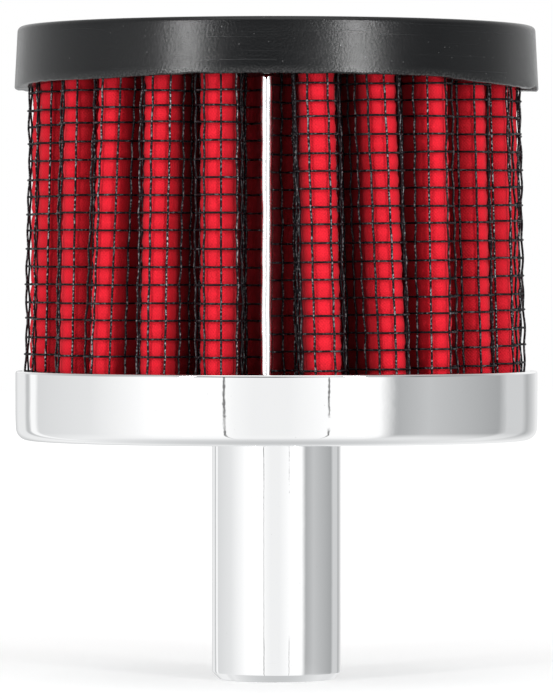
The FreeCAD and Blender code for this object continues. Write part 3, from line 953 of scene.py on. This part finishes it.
@dataclass
class InnerScreen:
    """Woven wire over the inside of the gauze, seen through the stub and the valleys."""

    law: FoldLaw
    finish: Material
    weave: Weave = field(default_factory=Weave)
    stations: Stations = field(default_factory=lambda: Stations(7, 3, 9))
    inset: float = 0.80
    upright_gap: int = 4
    upright_steps: int = 24
    sides: int = 4

    def build(self) -> None:
        """Builds hoops and uprights as one piece."""
        law, weave = self.law, self.weave
        first = self.stations.tip + self.stations.flank
        last = self.stations.per_fold * law.count - self.stations.flank
        share = np.linspace(0.0, 1.0, last - first)
        bundle = WireBundle(weave.wire, self.sides)
        for row in range(weave.rows_below):
            height = weave.row_height(row, share)
            line, way = law.section(float(height.mean()), -self.inset, self.stations)
            flat = levelled(way[first:last], 0.0)
            bundle.add(levelled(line[first:last], height), flat, np.tile(UP, (last - first, 1)))
        heights = np.linspace(law.low + weave.foot, law.high - weave.head, self.upright_steps)
        cuts = [law.section(float(height), -self.inset, self.stations) for height in heights]
        lines, ways = (np.stack(parts) for parts in zip(*cuts))
        for station in range(first + 1, last - 1, self.upright_gap):
            way = levelled(ways[:, station], 0.0)
            bundle.add(levelled(lines[:, station], heights) - way * weave.wire, way, np.cross(way, UP))
        bundle.piece("inner_wires", self.finish, ("inner_screen",))


@dataclass
class PleatedGauze:
    """The pleated cotton, one closed skin with a crowned outer face."""

    law: FoldLaw
    finish: Material
    weave: Weave = field(default_factory=Weave)
    stations: Stations = field(default_factory=lambda: Stations(11, 5, 7))
    thickness: float = 0.50
    pillow: float = 0.11
    # Painted shadow of the hoops on the cloth: how far the painted fold shade drops along each hoop, and how
    # tightly it hugs the hoop.
    hoop_shadow: float = 0.06
    hoop_shadow_edge: int = 3
    crumple: float = 0.07
    crumple_lean: float = 0.11
    crumple_waves: Row = (17.0, 41.0, 73.0, 119.0)
    rows: int = 105
    crease: float = 70.0

    def _outside(self, height: float, share: Array) -> tuple[Array, Array]:
        """Shapes one row of the outer face, pillowed between the hoops.

        Args:
            height: height of the row.
            share: how far round each station lies, from 0 to 1.

        Returns:
            The row's points, and how far each stands out of the folds, from 0 in a valley to 1 on a crown,
            less a painted shadow along the hoops. The finish paints light and shade by this value.
        """
        line, way = self.law.section(height, 0.0, self.stations)
        swell = np.abs(np.sin(math.pi * self.weave.row_at(height, share)))
        spot = share * math.tau + height * self.crumple_lean
        crumple = self.crumple * slow_noise(spot, Seed.CRUMPLE, self.crumple_waves)
        line = line + way * (self.pillow * swell + crumple - self.pillow)[:, None]
        reach = np.hypot(line[:, 0], line[:, 1]) / self.law.cone(height)
        depth = (reach - self.law.crown_reach + self.law.depth) / self.law.depth
        # Painted shadow along the hoops, taken off the depth that paints the cloth's light and shade.
        return levelled(line, height), depth - self.hoop_shadow * (1.0 - swell) ** self.hoop_shadow_edge

    def _faces(self, columns: int) -> Faces:
        """Lists the faces of the outer skin, the inner skin and the two edges between them.

        Args:
            columns: points in each row.

        Returns:
            Four point numbers for each face.
        """
        top, base = (self.rows - 1) * columns, self.rows * columns
        faces = grid_faces(self.rows, columns) + grid_faces(2, columns, base)
        for column in range(columns):
            after = (column + 1) % columns
            for outer, inner in ((0, base), (top, base + columns)):
                faces.append([outer + column, outer + after, inner + after, inner + column])
        return faces

    def build(self) -> None:
        """Builds the skin, and stores the cloth's length and height, and its depth in the folds with a
        painted shadow along the hoops, by which the finish paints light and shade.
        """
        law = self.law
        heights = np.linspace(law.low, law.high, self.rows).tolist()
        along, length = law.along(0.0, self.stations)
        layers, fold_shades = map(list, zip(*(self._outside(height, along / length) for height in heights)))
        for height in (heights[0], heights[-1]):
            line, _ = law.section(height, -self.thickness, self.stations)
            layers.append(levelled(line, height))
            fold_shades.append(np.zeros(len(along)))
        points, faces = np.concatenate(layers), self._faces(len(along))
        nodes = ("filter_media",)
        piece = make_piece("pleated_gauze", points, faces, self.finish, nodes, self.crease)
        add_measure(piece, "painted_fold_shade", np.clip(np.concatenate(fold_shades), 0.0, 1.0))
        cloth = np.column_stack([np.tile(along, len(layers)), points[:, 2]])
        layer = piece.data.uv_layers.new(name="cloth")
        corner = np.empty(len(piece.data.loops), dtype=np.int32)
        piece.data.loops.foreach_get("vertex_index", corner)
        layer.data.foreach_set("uv", cloth[corner].astype(np.float32).ravel())


@dataclass
class SeamClip:
    """Bright strip folded over the two ends of the cloth and crimped by hand."""

    finish: Material
    fold: float = 23.5
    mouth: float = 19.5
    mouth_length: float = 1.5
    half_width: float = 0.53
    sheet: float = 0.2
    bend_steps: int = 17
    low: float = 2.6
    high: float = 35.08
    rows: int = 70
    notch: float = 0.3
    notch_width: float = 0.14
    notch_from: float = 2.0
    waver: float = 0.05
    waver_waves: Row = (1.0, 2.3, 5.1)
    pinch: float = 0.06
    pinch_waves: Row = (1.7, 4.3, 9.7)
    wave_pace: float = 0.2
    crease: float = 50.0

    def _leaf(self, half_width: float, side: float) -> list[Pair]:
        """Gives one face of the folded strip.

        Args:
            half_width: half the width of the fold on this face.
            side: 1 to run from the negative side to the positive one, -1 to run back.

        Returns:
            Points as (reach, offset).
        """
        neck, edge, square = self.mouth + self.mouth_length, half_width * side, 90.0 * side
        bend = arc((self.fold - self.half_width, 0.0), half_width, (-square, square), self.bend_steps)
        return [(self.mouth, -edge), (neck, -edge), *bend, (neck, edge), (self.mouth, edge)]

    def build(self) -> None:
        """Builds the folded strip."""
        outer = self._leaf(self.half_width, 1.0)
        outline = np.array(outer + self._leaf(self.half_width - self.sheet, -1.0))
        reach, offset = outline[:, :1], outline[:, 1:]
        size, top = len(outline), (self.rows - 1) * len(outline)
        out, side = facing(SEAM_TURN)
        layers = []
        for height in np.linspace(self.low, self.high, self.rows):
            pace = np.array(height * self.wave_pace)
            bow = self.waver * slow_noise(pace, Seed.CLIP_BOW, self.waver_waves)
            pinch = 1.0 + self.pinch * slow_noise(pace, Seed.CLIP_PINCH, self.pinch_waves)
            layers.append(levelled(reach * out + (offset * pinch + bow) * side, height))
        notch = self.notch * np.exp(-((offset / self.notch_width) ** 2))
        layers[-1][:, 2:] -= notch * (reach > self.mouth + self.notch_from)
        faces = grid_faces(self.rows, size)
        for step in range(len(outer) - 1):
            ring = [step, step + 1, size - 2 - step, size - 1 - step]
            faces += [ring, [top + corner for corner in ring]]
        points = np.concatenate(layers)
        make_piece("seam_strip", points, faces, self.finish, ("seam_clip",), self.crease)


@dataclass
class Turned:
    """A piece with an outline of (radius, height) at each angle round the axis."""

    finish: Material
    name: str
    slot: Slot
    node: str
    segments: int
    crease: float
    closed: bool = True

    def outlines(self) -> Array:
        """Gives one outline per angle, evenly spaced from the +X side."""
        raise NotImplementedError

    def alike(self, outline: list[Pair]) -> Array:
        """Gives the same outline for every angle."""
        return np.array([outline] * self.segments)

    def mark(self, piece: bpy.types.Object, outlines: Array) -> None:
        """Stores what the finish reads from the piece's points, where it reads anything."""

    def build(self) -> None:
        """Builds the piece. An outline that isn't closed gets a flat end above and below."""
        outlines = self.outlines()
        size = outlines.shape[1]
        ways = heading(np.arange(self.segments) * math.tau / self.segments)
        flat = outlines[:, :, :1] * ways[:, None, :]
        points = np.concatenate([flat, outlines[:, :, 1:]], axis=2).reshape(-1, 3)
        number = np.arange(len(points)).reshape(self.segments, size)
        after = np.roll(number, -1, axis=0)
        corners = (number, after, np.roll(after, -1, axis=1), np.roll(number, -1, axis=1))
        steps = size if self.closed else size - 1
        faces = np.stack([corner[:, :steps].ravel() for corner in corners], axis=1).tolist()
        if not self.closed:
            faces += [number[:, 0].tolist(), number[:, -1].tolist()]
        piece = make_piece(self.name, points, faces, self.finish, (self.node,), self.crease)
        self.mark(piece, outlines)


@dataclass
class TopCap(Turned):
    """Cast cap with a drafted wall, a rounded top edge and an uneven lower edge.

    The edge's shift gives how far the lower edge rises, by degrees to the right of the camera. The points of
    the underside have a radius and a rise over the lower edge, and the ceiling's over its even level.
    """

    name: str = "cast_cap"
    slot: Slot = Slot.CAP
    node: str = "top_cap"
    segments: int = 420
    crease: float = 42.0
    closed: bool = False
    upper: float = 25.55
    lower: float = 25.84
    top: float = 40.72
    top_rings: Row = (8.0, 16.0, 22.0)
    edge: float = 0.5
    edge_steps: int = 8
    level: float = 35.0
    wall_steps: int = 9
    lip: float = 0.22
    lip_sweep: Pair = (-18.0, -90.0)
    lip_steps: int = 5
    underside: Pairs = ((25.0, 0.03), (23.6, 0.12))
    ceiling: Pair = (16.0, 0.1)
    edge_shift: Pairs = (
        (-180, -0.10), (-120, -0.35), (-90, -0.45), (-80, -0.38), (-70, -0.12), (-63, -0.05), (-39, -0.06),
        (-29, 0.12), (-17, 0.28), (0, 0.29), (25, 0.22), (38, 0.12), (48, -0.25), (60, -0.48), (75, -0.58),
        (77.5, -0.40), (80, -0.36), (81.5, -0.72), (84, -0.76), (88, -0.60), (95, -0.50), (130, -0.25),
        (180, -0.10),
    )
    fine_stray: float = 0.035
    smoothing: Row = (0.3, 0.4, 0.3)
    cast_band: float = 0.5

    def lower_edge(self) -> Array:
        """Gives the height of the lower edge at each angle.

        Returns:
            Heights.
        """
        bearing = np.arange(self.segments) * 360.0 / self.segments
        azimuth = (bearing - FRONT + 180.0) % 360.0 - 180.0
        shift = np.interp(azimuth, *np.array(self.edge_shift).T)
        ragged = draws(Seed.CAP_EDGE).normal(0.0, 1.0, self.segments)
        ragged = np.convolve(np.tile(ragged, 3), self.smoothing, "same")[self.segments:2 * self.segments]
        return self.level + (shift + self.fine_stray * ragged)

    def outlines(self) -> Array:
        """Draws the cap from the middle of its top to the middle of its underside.

        Returns:
            One outline per angle.
        """
        shoulder = self.top - self.edge
        crown = [(ring, self.top) for ring in self.top_rings]
        crown += arc((self.upper - self.edge, shoulder), self.edge, (90.0, 0.0), self.edge_steps)
        made = []
        for low in self.lower_edge():
            outline = list(crown)
            for share in np.linspace(0.0, 1.0, self.wall_steps)[1:]:
                height = shoulder + (low + self.lip - shoulder) * share
                outline.append((self.upper + (self.lower - self.upper) * share, height))
            outline += arc((self.lower - self.lip, low + self.lip), self.lip, self.lip_sweep, self.lip_steps)
            outline += [(reach, low + rise) for reach, rise in self.underside]
            made.append(outline + [(self.ceiling[0], self.level + self.ceiling[1])])
        return np.array(made)

    def mark(self, piece: bpy.types.Object, outlines: Array) -> None:
        """Stores how near each point is to the cast lower edge."""
        above = outlines[:, :, 1] - self.lower_edge()[:, None]
        add_measure(piece, "cast_edge", np.clip(1.0 - above / self.cast_band, 0.0, 1.0).ravel())


@dataclass
class BaseCup(Turned):
    """Pressed and chromed cup with a rolled corner and a hole for the stub."""

    name: str = "chrome_cup"
    slot: Slot = Slot.CHROME
    node: str = "base_cup"
    segments: int = 360
    crease: float = 40.0
    outer: float = 25.75
    height: float = 6.8
    wall: float = 0.7
    corner: float = 1.2
    corner_sweep: Pair = (-90.0, -4.0)
    corner_steps: int = 12
    inner_corner_steps: int = 7
    hole: float = 6.0
    hole_edge: float = 0.5
    floor_ring: float = 14.0
    floor_edge: float = 3.0
    dish: float = 0.06
    ease: float = 0.05
    ease_height: float = 2.8
    ease_shares: Row = (0.2, 0.4, 0.6, 0.8, 1.0)
    wall_bands: Row = (2.6, 1.2, 0.4, 0.06)
    rim: float = 0.22
    rim_steps: int = 5

    def outlines(self) -> Array:
        """Draws the cup from the edge of its hole, out and up the wall, and back inside.

        Returns:
            One outline per angle.
        """
        inside, brim, bend = self.outer - self.wall, self.height - self.rim, self.corner - self.wall
        rolled = (self.outer - self.corner - self.ease, self.corner)
        outline = [(self.hole, 0.0), (self.hole + self.hole_edge, self.dish), (self.floor_ring, self.dish)]
        outline.append((self.outer - self.floor_edge, self.dish / 2.0))
        outline += arc(rolled, self.corner, self.corner_sweep, self.corner_steps)
        for share in self.ease_shares:
            height = self.corner + (self.ease_height - self.corner) * share
            outline.append((self.outer - self.ease * (1.0 - share) ** 2, height))
        outline += [(self.outer, brim - band) for band in self.wall_bands]
        outline += arc((self.outer - self.rim, brim), self.rim, (0.0, 90.0), self.rim_steps)
        outline += arc((inside + self.rim, brim), self.rim, (90.0, 180.0), self.rim_steps)
        outline += arc((inside - bend, self.wall + bend), bend, (0.0, -90.0), self.inner_corner_steps)
        return self.alike(outline + [(self.floor_ring, self.wall), (self.hole, self.wall)])


@dataclass
class StubTube(Turned):
    """Chromed push-in stub with a turned-over lip inside the cup.

    The chamfer's two edges are broken by shares of the fine edge: inward or outward, and down or up.
    """

    name: str = "chrome_stub"
    slot: Slot = Slot.CHROME
    node: str = "stub_tube"
    segments: int = 240
    crease: float = 30.0
    outer: float = 6.35
    neck: float = 5.95
    wall: float = 1.2
    length: float = 23.6
    chamfer: float = 0.75
    chamfer_top: Pair = (-0.3, -0.4)
    chamfer_foot: Pair = (0.5, 0.35)
    lip_width: float = 0.8
    lip_thickness: float = 0.6
    floor: float = 0.7
    fine_edge: float = 0.12
    bands: Row = (0.4, 6.0, 12.0, 18.0)
    bore_band: float = 12.0

    def outlines(self) -> Array:
        """Draws the tube from the top of its bore, over the lip, down the outside and back up the bore.

        Returns:
            One outline per angle.
        """
        fine, outer, end = self.fine_edge, self.outer, -self.length
        bore, brim, lip = outer - self.wall, outer + self.lip_width, self.floor + self.lip_thickness
        shoulder, foot = end + self.chamfer, outer - self.chamfer
        outline = [(bore, lip - fine), (bore + fine, lip), (brim - fine, lip), (brim, lip - fine)]
        outline += [(brim, self.floor), (self.neck, self.floor), (self.neck, 0.0)]
        outline += [(outer - fine, 0.0), (outer, -fine)]
        outline += [(outer, -band) for band in self.bands]
        outline.append((outer, shoulder + fine))
        outline.append((outer + fine * self.chamfer_top[0], shoulder + fine * self.chamfer_top[1]))
        outline.append((foot + fine * self.chamfer_foot[0], end + fine * self.chamfer_foot[1]))
        outline += [(foot - fine, end), (bore + fine, end), (bore, end + fine), (bore, -self.bore_band)]
        return self.alike(outline)


@dataclass
class Potting(Turned):
    """Cured urethane in the cup, poured round the lower ends of the folds.

    The pool's points have a radius and a rise over the poured surface.
    """

    name: str = "poured_potting"
    slot: Slot = Slot.POTTING
    node: str = "potting_ring"
    segments: int = 240
    crease: float = 40.0
    inner: float = 13.5
    outer: float = 25.0
    floor: float = 0.72
    foot: Pair = (0.4, 0.5)
    level: float = 4.6
    sunk: float = 0.12
    pool: Pairs = (
        (25.0, 0.3), (24.7, 0.15), (24.0, 0.0), (20.0, -0.05), (15.5, 0.0), (13.7, 0.1), (13.5, -0.1),
    )
    ripple: float = 0.08
    ripple_waves: Row = (3.0, 8.0, 26.0)

    def outlines(self) -> Array:
        """Draws the poured ring with its climbed edges.

        Returns:
            One outline per angle.
        """
        bearing = np.arange(self.segments) * math.tau / self.segments
        ripple = self.ripple * slow_noise(bearing, Seed.POTTING, self.ripple_waves)
        level = min(self.level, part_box("potting_ring")[1].z / MM)
        bed = [(self.inner, self.floor), (self.outer - self.foot[0], self.floor)]
        bed.append((self.outer, self.floor + self.foot[1]))
        made = []
        for surface in level - self.sunk + ripple:
            made.append(bed + [(reach, surface + rise) for reach, rise in self.pool])
        return np.array(made)


@dataclass(frozen=True)
class SoftLamp:
    """A flat soft lamp that faces the element.

    The azimuth is in degrees to the right of the camera. The height over the cup's underside, the distance
    from the axis and the lamp's width and height are in metres, and the power is in watts.
    """

    name: str
    azimuth: float
    height: float
    reach: float
    size: Pair
    power: float
    aim: float = 0.01

    def hang(self) -> None:
        """Hangs the lamp in the scene."""
        data = bpy.data.lights.new(self.name, "AREA")
        data.shape, data.energy = "RECTANGLE", self.power
        data.size, data.size_y = self.size
        lamp = bpy.data.objects.new(self.name, data)
        turn, tilt = math.radians(self.azimuth), math.atan2(self.height - self.aim, self.reach)
        lamp.location = (self.reach * math.sin(turn), -self.reach * math.cos(turn), self.height)
        lamp.rotation_euler = (math.pi / 2.0 - tilt, 0.0, turn)
        bpy.context.scene.collection.objects.link(lamp)


@dataclass(frozen=True)
class TentSeam:
    """A dark seam in the tent: where it hangs, its width, and how dark its faded stretch stays."""

    azimuth: float
    width: float
    faded: float
    core: float = 0.25
    edge: float = 0.65
    dark: float = 0.8
    low_span: Pair = (-0.14, -0.10)
    high_span: Pair = (-0.034, -0.028)


@dataclass
class Studio:
    """White tent with two strip lamps, a lamp overhead, the floor and the camera.

    The walls and the loft have a brightness by degrees to the right of the camera, and the table has one by
    how far up a direction looks from straight down. Spans of directions are heights of a unit direction.
    """

    eye_distance: float = 581.0
    eye_height: float = 15.76
    lens: float = 302.6
    sensor: float = 36.0
    drop: float = -0.1
    clip: Pair = (0.01, 50.0)
    floor_height: float = -23.62
    floor_half: float = 1.5
    floor_paint: float = 0.78
    floor_span: Pair = (0.05, 0.45)
    floor_glow: Pair = (0.29, 0.47)
    ambient: float = 0.70
    lamps: tuple[SoftLamp, ...] = (
        SoftLamp("strip_left", -39.5, 0.10, 1.0, (0.09, 0.9), 5.104),
        SoftLamp("strip_right", 35.0, 0.10, 1.0, (0.13, 0.9), 5.8),
        SoftLamp("overhead", 0.0, 1.3, 0.5, (1.2, 1.2), 4.0),
    )
    seams: tuple[TentSeam, ...] = (TentSeam(-22.7, 1.2, 0.6), TentSeam(22.7, 0.8, 0.0))
    walls: Pairs = (
        (-172, 0.62), (-160, 0.85), (-147, 0.85), (-144, 0.55), (-141, 0.55), (-138, 1.0), (-133, 1.0),
        (-130, 0.72), (-90, 0.82), (-65, 1.0), (-58, 1.06), (-24, 1.06), (-18, 0.97), (-10, 0.92), (5, 0.92),
        (12, 0.97), (24, 1.06), (46, 1.06), (54, 0.45), (70, 0.57), (115, 0.40), (122, 0.65), (138, 0.65),
        (145, 0.45), (165, 0.85),
    )
    loft: Pairs = (
        (-180, 1.0), (-120, 0.60), (-85, 0.45), (-50, 0.85), (-25, 0.20), (0, 0.05), (24, 0.80), (50, 0.55),
        (65, 0.20), (105, 0.40), (150, 0.95), (180, 1.0),
    )
    loft_span: Pair = (0.055, 0.10)
    roof: float = 0.50
    roof_span: Pair = (0.35, 0.60)
    table: Pairs = ((0.0, 0.60), (0.15, 0.74), (0.4, 0.95), (1.0, 1.0))
    table_span: Pair = (-0.80, -0.20)
    red_fade: float = 0.05
    green_fade: float = 0.02

    def build(self) -> None:
        """Sets up the whole studio."""
        self._camera()
        for lamp in self.lamps:
            lamp.hang()
        self._world()
        self._floor()
        bpy.context.scene.view_settings.view_transform = "Standard"

    def _camera(self) -> None:
        """Makes the camera, level with the element and in front of it."""
        data = bpy.data.cameras.new("camera")
        data.lens, data.sensor_width, data.sensor_height = self.lens, self.sensor, self.sensor
        data.sensor_fit = "VERTICAL"
        data.shift_y = self.drop
        data.clip_start, data.clip_end = self.clip
        camera = bpy.data.objects.new("camera", data)
        camera.location = (0.0, -self.eye_distance * MM, self.eye_height * MM)
        camera.rotation_euler = (math.pi / 2.0, 0.0, 0.0)
        bpy.context.scene.collection.objects.link(camera)
        bpy.context.scene.camera = camera

    def _shades(self, board: Board, share: Socket, levels: Sequence[Pair]) -> Socket:
        """Gives a brightness, slightly cool where it is less than white, that follows a share.

        Args:
            board: the world's board.
            share: where to read it, from 0 to 1.
            levels: places from 0 to 1, and the brightness there.

        Returns:
            The colour.
        """
        ramp = board.add("ShaderNodeValToRGB", {0: share})
        marks = ramp.color_ramp.elements
        marks.remove(marks[0])
        for number, (position, level) in enumerate(levels):
            mark = marks[0] if number == 0 else marks.new(position)
            mark.position = position
            red, green = (level * (1.0 - fade + fade * level) for fade in (self.red_fade, self.green_fade))
            mark.color = (red, green, level, 1.0)
        return ramp.outputs[0]

    def _round(self, board: Board, share: Socket, levels: Pairs) -> Socket:
        """Gives a brightness by degrees to the right of the camera."""
        return self._shades(board, share, [((azimuth + 180.0) / 360.0, level) for azimuth, level in levels])

    @staticmethod
    def _seam_line(board: Board, turn: Socket, climb: Socket, seam: TentSeam) -> Socket:
        """Gives how dark one seam is.

        Args:
            board: the world's board.
            turn: angle of a direction round the axis.
            climb: height of that direction.
            seam: the seam.

        Returns:
            The share of black.
        """
        off = board.math("ABSOLUTE", board.math("SUBTRACT", turn, math.radians(seam.azimuth)))
        edges = (math.radians(seam.width * seam.core), math.radians(seam.width * seam.edge))
        line = board.span(off, edges, (seam.dark, 0.0))
        low = board.span(climb, seam.low_span, (1.0, seam.faded))
        high = board.span(climb, seam.high_span, (seam.faded, 1.0))
        return board.math("MULTIPLY", line, board.math("MAXIMUM", low, high))

    def _world(self) -> None:
        """Makes the white tent as metal shows it: walls with thin seams, a loft above and the table below."""
        world = bpy.data.worlds.new("tent")
        bpy.context.scene.world = world
        world.use_nodes = True
        board = Board(world.node_tree)
        look = board.add("ShaderNodeTexCoord").outputs["Generated"]
        across, along, climb = board.add("ShaderNodeSeparateXYZ", {0: look}).outputs
        turn = board.math("ARCTAN2", across, board.math("MULTIPLY", along, -1.0))
        share = board.span(turn, (-math.pi, math.pi))
        panels = self._round(board, share, self.walls)
        for seam in self.seams:
            panels = board.blend(self._seam_line(board, turn, climb, seam), panels, grey(0.0))
        panels = board.blend(board.span(climb, self.loft_span), panels, self._round(board, share, self.loft))
        panels = board.blend(board.span(climb, self.roof_span), panels, grey(self.roof))
        table = self._shades(board, board.span(climb, (-1.0, 0.0)), self.table)
        panels = board.blend(board.span(climb, self.table_span, FADING), panels, table)
        path = board.add("ShaderNodeLightPath")
        colour = board.blend(board.mirrored(path), grey(self.ambient), panels)
        colour = board.blend(path.outputs["Is Camera Ray"], colour, grey(1.0))
        light = board.add("ShaderNodeBackground", {"Color": colour, "Strength": 1.0})
        board.add("ShaderNodeOutputWorld", {"Surface": light.outputs[0]})

    def _floor(self) -> None:
        """Lays the pale floor under the stub, which the camera sees glow towards white with distance."""
        material = bpy.data.materials.new("pale_floor")
        material.use_nodes = True
        board = Board(material.node_tree)
        path = board.add("ShaderNodeLightPath")
        paint = board.add("ShaderNodeBsdfDiffuse", {"Color": grey(self.floor_paint)})
        lift = board.span(board.length(board.place()), self.floor_span, self.floor_glow)
        strength = board.math("MULTIPLY", path.outputs["Is Camera Ray"], lift)
        glow = board.add("ShaderNodeEmission", {"Color": grey(1.0), "Strength": strength})
        both = board.add("ShaderNodeAddShader", {0: paint.outputs[0], 1: glow.outputs[0]})
        clear = board.add("ShaderNodeBsdfTransparent")
        shown = {0: board.mirrored(path), 1: both.outputs[0], 2: clear.outputs[0]}
        surface = board.add("ShaderNodeMixShader", shown)
        board.add("ShaderNodeOutputMaterial", {"Surface": surface.outputs[0]})
        mesh = bpy.data.meshes.new("floor")
        half, level = self.floor_half, self.floor_height * MM
        corners = [(-half, -half, level), (half, -half, level), (half, half, level), (-half, half, level)]
        mesh.from_pydata(corners, [], [(0, 1, 2, 3)])
        mesh.materials.append(material)
        floor = bpy.data.objects.new("floor", mesh)
        bpy.context.scene.collection.objects.link(floor)


def main() -> None:
    """Builds the studio and every piece of the part, in order."""
    logging.basicConfig(level=logging.INFO, format="%(name)s %(message)s")
    Studio().build()
    finishes = (
        PlateFinish("chrome_plate"),
        PlateFinish("drawn_strip", relief=Relief(0.5, 0.00005), polish=(0.16, 0.32), scuff_amount=0.5),
        WireFinish("coated_wire"),
        UrethaneFinish("poured_urethane", base=0.02, dust_amount=0.05),
        GauzeFinish("oiled_gauze"),
        UrethaneFinish("cast_urethane"),
    )
    effects = Effects()
    chrome, strip, wire, poured, gauze, cast = (finish.material(effects) for finish in finishes)
    law = FoldLaw()
    pieces = (
        StubTube(chrome), BaseCup(chrome), Potting(poured), PleatedGauze(law, gauze), OuterScreen(law, wire),
        InnerScreen(law, wire), SeamClip(strip), TopCap(cast),
    )
    for piece in pieces:
        piece.build()


if __name__ == "__main__":
    main()
